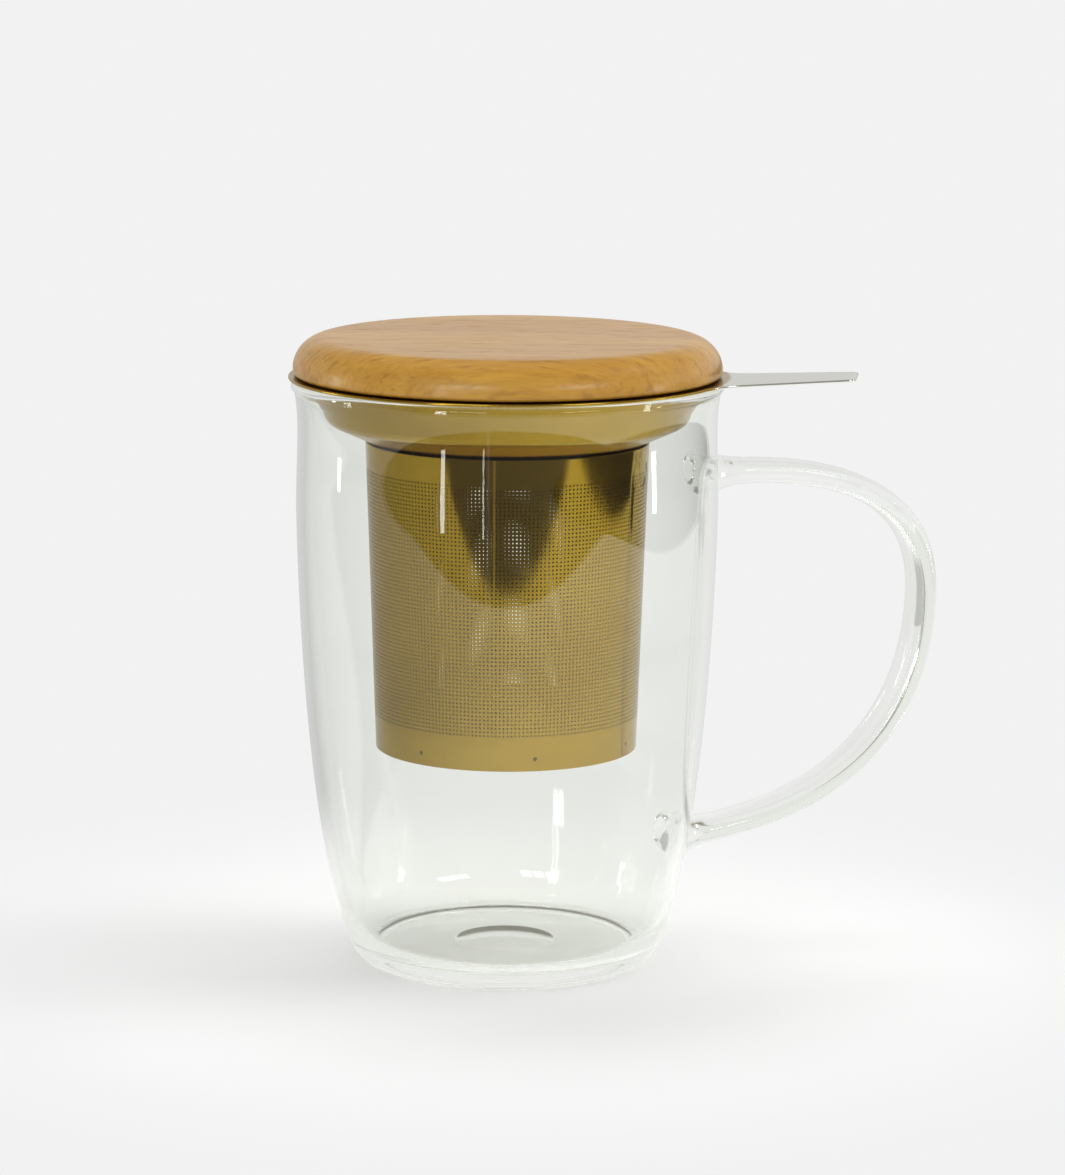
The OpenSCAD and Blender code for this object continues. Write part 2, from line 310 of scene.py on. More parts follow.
def lattice(rows: np.ndarray, hole: Callable[[int, int], bool], closed: bool) -> Draft:
    """A sheet of two skins on a lattice of points, with holes through it.

    Args:
        rows: points of the lattice for both skins, of shape (2, rows, columns, 3).
        hole: says whether the cell at a row and a column is open.
        closed: whether the last column joins the first.

    Returns:
        The draft of a closed sheet.
    """
    _, n_rows, n_cols, _ = rows.shape
    cells = n_cols if closed else n_cols - 1
    faces: Faces = []

    def at(skin: int, i: int, j: int) -> int:
        """The index of one lattice point."""
        return (skin * n_rows + i) * n_cols + j % n_cols

    open_cell = np.zeros((n_rows + 1, cells + 2), bool)
    open_cell[-1, :] = True
    for i in range(n_rows - 1):
        for j in range(cells):
            open_cell[i, j] = hole(i, j)

    def is_open(i: int, j: int) -> bool:
        """Whether a cell is a hole or lies outside the sheet."""
        if closed:
            j %= cells
        if not 0 <= i < n_rows - 1 or not 0 <= j < cells:
            return True
        return bool(open_cell[i, j])

    for i in range(n_rows - 1):
        for j in range(cells):
            if open_cell[i, j]:
                continue
            faces.append((at(0, i, j), at(0, i, j + 1), at(0, i + 1, j + 1), at(0, i + 1, j)))
            faces.append((at(1, i, j), at(1, i + 1, j), at(1, i + 1, j + 1), at(1, i, j + 1)))
            for di, dj, a, b in NEIGHBOURS:
                if is_open(i + di, j + dj):
                    p, q = (i + a[0], j + a[1]), (i + b[0], j + b[1])
                    faces.append((at(0, *q), at(0, *p), at(1, *p), at(1, *q)))
    return Draft(rows.reshape(-1, 3), faces)


def without_loose(draft: Draft) -> Draft:
    """Drops the vertices that no face uses.

    Args:
        draft: the draft to clear.

    Returns:
        A new draft with the same faces.
    """
    used = np.unique(np.concatenate([np.array(f) for f in draft.faces]))
    place = np.full(len(draft.verts), -1)
    place[used] = np.arange(len(used))
    return Draft(draft.verts[used], [tuple(int(place[i]) for i in f) for f in draft.faces])


def united(first: bpy.types.Object, second: bpy.types.Object) -> None:
    """Fuses the second object's mesh into the first one's, and removes the second.

    Args:
        first: the object that stays.
        second: the object that goes into it.
    """
    fuse = first.modifiers.new("fuse", "BOOLEAN")
    fuse.operation, fuse.solver, fuse.object = "UNION", "EXACT", second
    graph = bpy.context.evaluated_depsgraph_get()
    fused = bpy.data.meshes.new_from_object(first.evaluated_get(graph))
    first.modifiers.remove(fuse)
    old = first.data
    first.data = fused
    fused.name = first.name
    bpy.data.meshes.remove(old)
    spare = second.data
    bpy.data.objects.remove(second)
    bpy.data.meshes.remove(spare)


# ---- shader graphs ----


class Graph:
    """A short way to write a material's or a group's nodes."""

    def __init__(self, tree: bpy.types.NodeTree) -> None:
        """Takes the tree that the nodes go into."""
        self.tree = tree

    def add(self, kind: str, inputs: dict[str | int, object] | None = None,
            **settings: object) -> bpy.types.Node:
        """Adds a node.

        Args:
            kind: the node's Blender name without "ShaderNode".
            inputs: for each input's name or number, a value or the output that feeds it.
            settings: the node's own properties.

        Returns:
            The node.
        """
        node = self.tree.nodes.new("ShaderNode" + kind)
        for key, value in settings.items():
            setattr(node, key, value)
        for key, value in (inputs or {}).items():
            if isinstance(value, bpy.types.NodeSocket):
                self.tree.links.new(value, node.inputs[key])
            else:
                node.inputs[key].default_value = value
        return node

    def math(self, operation: str, a: object, b: object = 0.5, clamp: bool = False) -> Socket:
        """The output of a Math node."""
        return self.add("Math", {0: a, 1: b}, operation=operation, use_clamp=clamp).outputs[0]

    def product(self, first: object, *others: object) -> Socket:
        """All the values multiplied."""
        for other in others:
            first = self.math("MULTIPLY", first, other)
        return first

    def blend(self, factor: object, a: object, b: object) -> Socket:
        """A value that goes from a to b as the factor goes from 0 to 1."""
        return self.add("Mix", {0: factor, 2: a, 3: b}).outputs[0]

    def either(self, factor: object, a: bpy.types.Node, b: bpy.types.Node) -> bpy.types.Node:
        """A shader that goes from a to b as the factor goes from 0 to 1."""
        return self.add("MixShader", {0: factor, 1: a.outputs[0], 2: b.outputs[0]})

    def along(self, vector: object, direction: Sequence[float]) -> Socket:
        """How far a vector goes along a direction."""
        return self.add("VectorMath", {0: vector, 1: direction}, operation="DOT_PRODUCT").outputs["Value"]

    def length(self, vector: object) -> Socket:
        """A vector's length."""
        return self.add("VectorMath", {0: vector}, operation="LENGTH").outputs["Value"]

    def noise(self, vector: object, scale: object, detail: float = 2.0, rough: float = 0.5,
              distortion: float = 0.0) -> Socket:
        """The value of a Noise Texture."""
        return self.add("TexNoise", {"Vector": vector, "Scale": scale, "Detail": detail, "Roughness": rough,
                                     "Distortion": distortion}).outputs["Fac"]

    def spread(self, value: object, low: float, high: float, to_low: float = 0.0,
               to_high: float = 1.0) -> Socket:
        """A value mapped smoothly from one range to another."""
        return self.add("MapRange", {"Value": value, "From Min": low, "From Max": high, "To Min": to_low,
                                     "To Max": to_high}, interpolation_type="SMOOTHSTEP").outputs["Result"]

    def mix(self, factor: object, a: object, b: object) -> Socket:
        """A colour that goes from a to b as the factor goes from 0 to 1."""
        return self.add("Mix", {0: factor, 6: a, 7: b}, data_type="RGBA").outputs[2]

    def stretched(self, vector: object, scale: Sequence[float],
                  turn: Sequence[float] = (0, 0, 0)) -> Socket:
        """A vector through a Mapping node."""
        given = {"Vector": vector, "Scale": tuple(scale), "Rotation": tuple(turn)}
        return self.add("Mapping", given).outputs[0]

    def place(self) -> Socket:
        """The object's own coordinates."""
        return self.add("TexCoord").outputs["Object"]


def rgba(colour: Colour) -> tuple[float, float, float, float]:
    """A colour with full alpha."""
    return (*colour, 1.0)


class SharedEffect(Enum):
    """Node groups that more than one material uses."""

    SMUDGES = "handling_smudges"
    FINE_GRAIN = "fine_grain"


def effect_group(effect: SharedEffect) -> bpy.types.NodeTree:
    """The node group of a shared effect, made the first time it is asked for.

    Args:
        effect: which effect.

    Returns:
        A group that takes Vector, Scale and Amount and gives one Value.
    """
    found = bpy.data.node_groups.get(effect.value)
    if found:
        return found
    tree = bpy.data.node_groups.new(effect.value, "ShaderNodeTree")
    tree.interface.new_socket("Vector", in_out="INPUT", socket_type="NodeSocketVector")
    tree.interface.new_socket("Scale", in_out="INPUT", socket_type="NodeSocketFloat")
    tree.interface.new_socket("Amount", in_out="INPUT", socket_type="NodeSocketFloat")
    tree.interface.new_socket("Value", in_out="OUTPUT", socket_type="NodeSocketFloat")
    g = Graph(tree)
    given = tree.nodes.new("NodeGroupInput")
    result = tree.nodes.new("NodeGroupOutput")
    vector, scale, amount = (given.outputs[k] for k in ("Vector", "Scale", "Amount"))
    if effect is SharedEffect.SMUDGES:
        broad = g.noise(vector, scale, 3.0)
        fine = g.noise(vector, g.math("MULTIPLY", scale, 7.0), 2.0)
        mask = g.math("MULTIPLY", g.spread(broad, 0.45, 0.7), g.spread(fine, 0.3, 0.7, 0.4, 1.0))
    else:
        fine = g.noise(vector, scale, 4.0, 0.6)
        mask = g.math("SUBTRACT", fine, 0.5)
    tree.links.new(g.math("MULTIPLY", mask, amount), result.inputs["Value"])
    return tree


def effect(g: Graph, kind: SharedEffect, vector: object, scale: float, amount: float) -> Socket:
    """Places a shared effect in a graph.

    Args:
        g: the graph it goes into.
        kind: which effect.
        vector: the coordinates that it lies on.
        scale: how fine it is.
        amount: how strong it is.

    Returns:
        Its value.
    """
    node = g.add("Group", node_tree=effect_group(kind))
    g.tree.links.new(vector, node.inputs["Vector"])
    node.inputs["Scale"].default_value = scale
    node.inputs["Amount"].default_value = amount
    return node.outputs["Value"]


# ---- finishes ----


def new_material(name: str) -> tuple[bpy.types.Material, Graph, bpy.types.Node]:
    """Makes a material.

    Args:
        name: the material's name.

    Returns:
        The material, its graph and its Principled shader.
    """
    material = bpy.data.materials.new(name)
    material.use_nodes = True
    g = Graph(material.node_tree)
    return material, g, material.node_tree.nodes["Principled BSDF"]


@dataclass(frozen=True)
class GlassFinish:
    """Clear borosilicate glass with a faint grey-green body, and soft darker bands of painted reflection in
    its colour.

    The ranges of thrown_facing are where Layer Weight's Facing starts and stops for the rays
    that a slope of the underside throws sideways.
    """

    name: str = "clear_glass"
    tint: Colour = (0.955, 0.967, 0.940)
    # Painted reflection: a darker tint that soft bands of noise paint into the glass's colour, in place of
    # the room's reflections.
    painted_reflection_tint: Colour = (0.905, 0.917, 0.890)
    reflection_band_scale: tuple[float, float, float] = (9.0, 9.0, 34.0)
    reflection_band_from: Range = (0.48, 0.72)
    haze_scale: float = 35.0
    haze: float = 0.035
    ior: float = 1.473
    shadow_tint: Colour = (0.955, 0.962, 0.95)
    # Painted glow: the plain tone given to light caught between the surfaces.
    caught_light: Colour = (0.80, 0.815, 0.775)
    most_bounces: int = 2
    # Painted shade: the dark tone of the crescent under the floor, and how high it reaches.
    under: Colour = (0.10, 0.095, 0.052)
    painted_shade_z: float = 2.7
    thrown_facing: tuple[Range, Range] = ((0.29, 0.38), (0.60, 0.68))

    def material(self) -> bpy.types.Material:
        """Makes the material.

        Rays from lamps pass straight through it. Light that stays caught between the surfaces is painted as
        a plain glowing tone, and where a slope of the underside throws it sideways a dark tone is painted
        as shade.

        Returns:
            The material.
        """
        material, g, shader = new_material(self.name)
        # Painted reflection: soft darker bands are painted into the glass's base colour.
        wide = g.stretched(g.place(), self.reflection_band_scale)
        reflection_band = g.spread(g.noise(wide, 1.0, distortion=0.4), *self.reflection_band_from)
        g.tree.links.new(g.mix(reflection_band, rgba(self.tint), rgba(self.painted_reflection_tint)), shader.inputs["Base Color"])
        shader.inputs["Metallic"].default_value = 0.0
        shader.inputs["IOR"].default_value = self.ior
        shader.inputs["Transmission Weight"].default_value = 1.0
        haze = effect(g, SharedEffect.SMUDGES, g.place(), self.haze_scale, self.haze)
        g.tree.links.new(haze, shader.inputs["Roughness"])
        clear = g.add("BsdfTransparent", {"Color": rgba(self.shadow_tint)})
        rays = g.add("LightPath").outputs
        # Painted glow for rays that pass the last bounce.
        caught = g.add("Emission", {"Color": rgba(self.caught_light), "Strength": 1.0})
        lost = g.math("GREATER_THAN", rays["Glossy Depth"], self.most_bounces + 0.5)
        # Painted shade: a dark emission where the underside throws rays sideways.
        slope = g.add("Emission", {"Color": rgba(self.under), "Strength": 1.0})
        body = g.either(self.thrown(g, rays), g.either(lost, shader, caught), slope)
        split = g.either(rays["Is Shadow Ray"], body, clear)
        out = material.node_tree.nodes["Material Output"]
        g.tree.links.new(split.outputs[0], out.inputs["Surface"])
        return material

    def thrown(self, g: Graph, rays: object) -> Socket:
        """Finds where a ray from above meets a slope of the underside too flatly to leave the glass.

        Args:
            g: the material's graph.
            rays: the outputs of its Light Path node.

        Returns:
            1 there, where the dark painted shade goes, and 0 elsewhere.
        """
        facing = g.add("LayerWeight", {"Blend": 0.5}).outputs["Facing"]
        start, stop = self.thrown_facing
        flat = g.math("MULTIPLY", g.spread(facing, *start), g.spread(facing, *stop, 1.0, 0.0))
        low = g.math("LESS_THAN", g.add("SeparateXYZ", {0: g.place()}).outputs[2], self.painted_shade_z * MM)
        within = g.add("NewGeometry").outputs["Backfacing"]
        first = g.math("LESS_THAN", rays["Glossy Depth"], 0.5)
        return g.product(flat, low, within, first)


@dataclass(frozen=True)
class GoldFinish:
    """Thin gold-coloured coating on stainless sheet.

    Beyond pale_from from the axis, in millimetres, the sheet is left uncoated. Inside a tube the face is
    darkened with painted shade, out to the radius of the sheet's middle, given at height 0 and with its
    slope.
    """

    name: str
    roughness: float
    colour: Colour = (0.46, 0.31, 0.042)
    deep: Colour = (0.40, 0.26, 0.03)
    cloud_scale: float = 40.0
    grain_scale: tuple[float, float, float] = (900.0, 900.0, 60.0)
    grain: float = 0.06
    grain_height: float = 0.00002
    smudge_scale: float = 45.0
    smudge: float = 0.06
    weld_ring: "WeldRing | None" = None
    weld_rough: float = 0.25
    pale: Colour = (0.9, 0.89, 0.8)
    pale_from: float | None = None
    pale_edge: Range = (-0.4, 0.6)
    # Painted shade inside a tube: where it lies, and its colour.
    painted_inner_shade: tuple[float, float] | None = None
    shade: Colour = (0.2, 0.13, 0.02)

    def material(self) -> bpy.types.Material:
        """Makes the material.

        Returns:
            The material.
        """
        material, g, shader = new_material(self.name)
        place = g.place()
        shader.inputs["Metallic"].default_value = 1.0
        cloud = g.noise(place, self.cloud_scale, 3.0, 0.55)
        colour = g.mix(g.spread(cloud, 0.3, 0.7), rgba(self.deep), rgba(self.colour))
        brushed = g.stretched(place, self.grain_scale)
        grain = effect(g, SharedEffect.FINE_GRAIN, brushed, 1.0, self.grain)
        smudge = effect(g, SharedEffect.SMUDGES, place, self.smudge_scale, self.smudge)
        rough = g.math("ADD", g.math("ADD", self.roughness, grain), smudge, clamp=True)
        axes = g.add("SeparateXYZ", {0: place}).outputs
        off_axis = g.length(g.add("CombineXYZ", {0: axes[0], 1: axes[1]}).outputs[0])
        if self.pale_from:
            silver = g.spread(off_axis, *((self.pale_from + edge) * MM for edge in self.pale_edge))
            colour = g.mix(silver, colour, rgba(self.pale))
        # Painted shade: the face inside the tube is darkened with the shade colour.
        if self.painted_inner_shade:
            at_origin, slope = self.painted_inner_shade
            wall = g.math("ADD", g.math("MULTIPLY", axes[2], slope), at_origin * MM)
            colour = g.mix(g.math("LESS_THAN", off_axis, wall), colour, rgba(self.shade))
        if self.weld_ring:
            mark = self.weld_ring.mask(g, place)
            colour = g.mix(mark, colour, rgba(self.weld_ring.burn))
            rough = g.math("ADD", rough, g.math("MULTIPLY", mark, self.weld_rough), clamp=True)
        g.tree.links.new(colour, shader.inputs["Base Color"])
        g.tree.links.new(rough, shader.inputs["Roughness"])
        bump = g.add("Bump", {"Height": grain, "Distance": self.grain_height, "Strength": 0.5})
        g.tree.links.new(bump.outputs[0], shader.inputs["Normal"])
        return material


@dataclass(frozen=True)
class WeldRing:
    """Spot-weld marks evenly round a tube, as a mask in its material.

    The first mark's angle is in degrees, and the rest is in millimetres.
    """

    count: int
    first: float
    radius: float
    height: float
    size: float
    burn: Colour = (0.16, 0.10, 0.04)

    def mask(self, g: Graph, place: object) -> Socket:
        """Finds the weld marks.

        Args:
            g: the material's graph.
            place: the object's own coordinates.

        Returns:
            1 on a mark and 0 away from it.
        """
        axes = g.add("SeparateXYZ", {0: place}).outputs
        angle = g.math("ARCTAN2", axes[1], axes[0])
        step = 2 * math.pi / self.count
        shifted = g.math("SUBTRACT", angle, math.radians(self.first) - step / 2)
        off = g.math("SUBTRACT", g.math("FLOORED_MODULO", shifted, step), step / 2)
        across = g.math("MULTIPLY", off, self.radius * MM)
        up = g.math("SUBTRACT", axes[2], self.height * MM)
        far = g.length(g.add("CombineXYZ", {0: across, 1: up}).outputs[0])
        return g.spread(far, self.size * MM * 0.5, self.size * MM, 1.0, 0.0)


@dataclass(frozen=True)
class WoodFinish:
    """Oiled light hardwood with long grain and short flecks.

    The scales are along the grain, across it and through it.
    """

    name: str = "lid_wood"
    light: Colour = (0.53, 0.285, 0.04)
    mid: Colour = (0.43, 0.205, 0.02)
    dark: Colour = (0.25, 0.095, 0.010)
    grain_turn: float = 17.0
    growth_scale: tuple[float, float, float] = (5.0, 75.0, 75.0)
    fibre_scale: tuple[float, float, float] = (60.0, 1500.0, 1500.0)
    fleck_scale: tuple[float, float, float] = (170.0, 900.0, 500.0)
    fibre_share: float = 0.35
    fleck_share: float = 0.38
    roughness: float = 0.34
    fleck_rough: float = 0.08
    specular: float = 0.35
    oil: float = 0.4
    oil_rough: float = 0.2
    relief: float = 0.00006

    def material(self) -> bpy.types.Material:
        """Makes the material.

        Returns:
            The material.
        """
        material, g, shader = new_material(self.name)
        place = g.stretched(g.place(), (1, 1, 1), (0, 0, math.radians(self.grain_turn)))
        growth = g.noise(g.stretched(place, self.growth_scale), 1.0, 4.0, 0.6, 0.8)
        fibres = g.stretched(place, self.fibre_scale)
        fibre = g.spread(g.noise(fibres, 1.0, 3.0, 0.6), 0.42, 0.75)
        flecks = g.spread(g.noise(g.stretched(place, self.fleck_scale), 1.0), 0.54, 0.68)
        base = g.mix(g.spread(growth, 0.35, 0.68), rgba(self.light), rgba(self.mid))
        base = g.mix(g.math("MULTIPLY", fibre, self.fibre_share), base, rgba(self.dark))
        colour = g.mix(g.math("MULTIPLY", flecks, self.fleck_share), base, rgba(self.dark))
        g.tree.links.new(colour, shader.inputs["Base Color"])
        smudge = effect(g, SharedEffect.SMUDGES, place, 30.0, 0.10)
        uneven = g.math("MULTIPLY", flecks, self.fleck_rough)
        rough = g.math("ADD", g.math("ADD", smudge, self.roughness), uneven)
        g.tree.links.new(rough, shader.inputs["Roughness"])
        shader.inputs["Specular IOR Level"].default_value = self.specular
        shader.inputs["Coat Weight"].default_value = self.oil
        shader.inputs["Coat Roughness"].default_value = self.oil_rough
        grain = effect(g, SharedEffect.FINE_GRAIN, fibres, 1.0, 1.0)
        height = g.math("SUBTRACT", grain, g.math("MULTIPLY", flecks, 0.4))
        bump = g.add("Bump", {"Height": height, "Distance": self.relief, "Strength": 0.5})
        g.tree.links.new(bump.outputs[0], shader.inputs["Normal"])
        return material


@dataclass(frozen=True)
class SiliconeFinish:
    """Translucent white food silicone."""

    name: str = "seal_silicone"
    colour: Colour = (0.80, 0.80, 0.77)
    roughness: float = 0.5

    def material(self) -> bpy.types.Material:
        """Makes the material.

        Returns:
            The material.
        """
        material, g, shader = new_material(self.name)
        place = g.place()
        tone = effect(g, SharedEffect.SMUDGES, place, 60.0, 1.0)
        faded = tuple(c * 0.9 for c in self.colour)
        g.tree.links.new(g.mix(tone, rgba(self.colour), rgba(faded)), shader.inputs["Base Color"])
        grain = effect(g, SharedEffect.FINE_GRAIN, place, 1200.0, 0.15)
        g.tree.links.new(g.math("ADD", grain, self.roughness), shader.inputs["Roughness"])
        return material


# ---- the glass ----


@dataclass
class GlassMug:
    """The blown body with the handle fused to it, as one piece of glass.

    The punt is the shallow hollow under the floor, with a dimple in its middle. The bar's and
    the pads' sizes are their section's width and thickness, and fullness below 1 squares it.
    """

    body_h: float = 120.0
    belly_r: float = 43.0
    belly_drop: float = 25.0
    wall: float = 1.8
    heel_inset: float = 8.7
    heel_h: float = 10.0
    foot_inset: float = 6.2
    foot_w: float = 1.6
    floor_t: float = 3.6
    floor_inset: float = 3.0
    floor_run: float = 5.0
    heel_pull: tuple[float, float] = (0.9, 3.5)
    punt_rise: float = 0.6
    punt_run: float = 5.0
    dimple_r: float = 10.5
    dimple_h: float = 1.8
    flat_points: Range = (0.15, 0.4)
    bead_r: float = 1.15
    bead_sweep: Range = (-20.0, 200.0)
    bead_steps: int = 18
    lip_flare: float = 1.0
    handle_drop: float = 20.8
    handle_low_z: float = 22.7
    handle_room: float = 48.3
    handle_sag: float = 26.9
    bar_w: float = 10.4
    bar_t: float = 5.0
    pad_w: float = 14.6
    pad_t: float = 8.6
    fullness: float = 0.75
    flare: float = 3.2
    flare_power: float = 1.2
    fuse_skin: float = 0.7
    segments: int = 384
    steps: int = 15
    bar_steps: int = 84
    bar_sides: int = 60

    def __post_init__(self) -> None:
        """Works out the heights and radii that follow from the sizes."""
        self.belly_z = self.body_h - self.belly_drop
        self.heel_r = self.belly_r - self.heel_inset
        self.foot_r = self.heel_r - self.foot_inset
        self.lip_r = self.belly_r + self.lip_flare
        self.lip_z = self.body_h - self.bead_r
        self.side_h = self.belly_z - self.heel_h

    def outer_upright(self) -> Path:
        """The outer line from the heel's top to just under the bead."""
        side = [[self.heel_r, self.heel_h],
                [self.heel_r + self.heel_inset * 0.86, self.heel_h + self.side_h * 0.28],
                [self.belly_r, self.belly_z - self.side_h * 0.1], [self.belly_r, self.belly_z]]
        lip = [[self.belly_r, self.belly_z], [self.belly_r, self.belly_z + self.belly_drop * 0.32],
               [self.lip_r - 2 * self.bead_r + 0.4, self.lip_z - 6.8], [self.lip_r - 0.7, self.lip_z - 1.2]]
        return joined(cubic(side, self.steps * 2), cubic(lip, self.steps))

    def heel(self) -> Path:
        """The outer line from the foot to the heel's top."""
        line = [[self.foot_r + self.foot_w / 2, 0], [self.heel_r - self.foot_inset * 0.43, 0],
                [self.heel_r - self.foot_inset * 0.16, self.heel_h * 0.56], [self.heel_r, self.heel_h]]
        return cubic(line, self.steps)

    def body_outline(self) -> Path:
        """The closed half section of the body."""
        upright = self.outer_upright()
        inner = beside(upright, -self.wall)
        bead = arc([self.lip_r - self.bead_r, self.lip_z], self.bead_r, *self.bead_sweep, self.bead_steps)
        floor_r = self.foot_r - self.floor_inset
        inner_heel = cubic([[floor_r, self.floor_t], [floor_r + self.floor_run, self.floor_t],
                            inner[0] - self.heel_pull, inner[0]], self.steps)
        middle = np.array([[0.0, self.floor_t]])
        return joined(self.heel(), upright, bead, inner[::-1], inner_heel[::-1], middle, self.underside())

    def underside(self) -> Path:
        """The underside from the middle of its dimple out to the ring the mug stands on.

        Two points close to the dimple keep the smooth normals of the flat beside it straight.
        """
        p, r, top = self.punt_rise, self.dimple_r, self.punt_rise + self.dimple_h
        dimple = cubic([[0, top], [r * 0.55, top], [r * 0.8, p + self.dimple_h / 2], [r, p]], self.steps)
        run, far = self.punt_run, self.foot_r
        punt = cubic([[far - run, p], [far - run * 0.6, p], [far - run * 0.4, p],
                      [far - self.foot_w / 2, 0]], self.steps)
        return joined(dimple, [[r + beyond, p] for beyond in self.flat_points], punt)

    def radius_at(self, z: float) -> float:
        """The body's outer radius.

        Args:
            z: the height.

        Returns:
            The radius there.
        """
        line = joined(self.heel(), self.outer_upright())
        return float(np.interp(z, line[:, 1], line[:, 0]))

    def normal_at(self, z: float) -> np.ndarray:
        """The body's outward normal.

        Args:
            z: the height.

        Returns:
            A unit vector of radius and height.
        """
        along = np.array([self.radius_at(z + 1) - self.radius_at(z - 1), 2.0])
        along /= np.linalg.norm(along)
        return np.array([along[1], -along[0]])

    def handle_draft(self) -> Draft:
        """The bar swept along its two curves, with a pad melting into the wall at each end.

        Near each end the sweep turns from the curve's direction to the wall's normal, so the
        pad lies along the wall.

        Returns:
            The bar, with its ends inside the wall.
        """
        fuse = self.wall - self.fuse_skin
        top_z = self.body_h - self.handle_drop
        out_z = top_z - self.handle_sag
        top_out, low_out = self.normal_at(top_z), self.normal_at(self.handle_low_z)
        top = np.array([self.radius_at(top_z), top_z]) - fuse * top_out
        low = np.array([self.radius_at(self.handle_low_z), self.handle_low_z]) - fuse * low_out
        out = np.array([self.belly_r + self.handle_room, out_z])
        upper = [top, out + [-0.44 * self.handle_room, self.handle_sag + 1.4],
                 out + [0, 0.82 * self.handle_sag], out]
        lower = [out, out - [0, 0.46 * (out_z - self.handle_low_z)],
                 [out[0] - 0.27 * self.handle_room, self.handle_low_z + 2.7], low]
        n = self.bar_steps
        line = joined(cubic(upper, n), cubic(lower, n))
        toward = np.concatenate([cubic_direction(upper, n), cubic_direction(lower, n)[1:]])
        away_top = np.linalg.norm(line - top, axis=1)
        away_low = np.linalg.norm(line - low, axis=1)
        away = np.maximum(0, np.minimum(away_top, away_low) - fuse)
        share = np.exp(-((away / self.flare) ** self.flare_power))[:, None]
        pad_dir = np.where((away_top < away_low)[:, None], top_out, -low_out)
        toward = toward * (1 - share) + pad_dir * share
        toward /= np.linalg.norm(toward, axis=1, keepdims=True)
        side = np.stack([toward[:, 1], -toward[:, 0]], axis=1)
        w = np.linspace(0, 2 * math.pi, self.bar_sides, endpoint=False)
        full_cos = np.sign(np.cos(w)) * np.abs(np.cos(w)) ** self.fullness
        full_sin = np.sign(np.sin(w)) * np.abs(np.sin(w)) ** self.fullness
        a = (self.bar_w + (self.pad_w - self.bar_w) * share) / 2
        b = (self.bar_t + (self.pad_t - self.bar_t) * share) / 2
        x = line[:, :1] + side[:, :1] * b * full_sin
        y = a * full_cos
        z = line[:, 1:] + side[:, 1:] * b * full_sin
        verts = np.stack([x, y, z], axis=2).reshape(-1, 3)
        s = self.bar_sides
        faces: Faces = [(i * s + j, i * s + (j + 1) % s, (i + 1) * s + (j + 1) % s, (i + 1) * s + j)
                        for i in range(len(line) - 1) for j in range(s)]
        last = (len(line) - 1) * s
        faces.append(tuple(range(s - 1, -1, -1)))
        faces.append(tuple(range(last, last + s)))
        return Draft(verts, faces)

    def build(self) -> bpy.types.Object:
        """Makes the fused glass and dresses it.

        Returns:
            The piece.
        """
        mug = revolve(self.body_outline(), self.segments).object("mug_glass", 50)
        united(mug, self.handle_draft().object("handle_bar", 50))
        mug.data.shade_smooth()
        mug.data.set_sharp_from_angle(angle=math.radians(60))
        mug.data.materials.clear()
        mug.data.materials.append(GlassFinish().material())
        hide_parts("mug_body", "mug_handle")
        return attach(mug, "mug")


# ---- the infuser ----


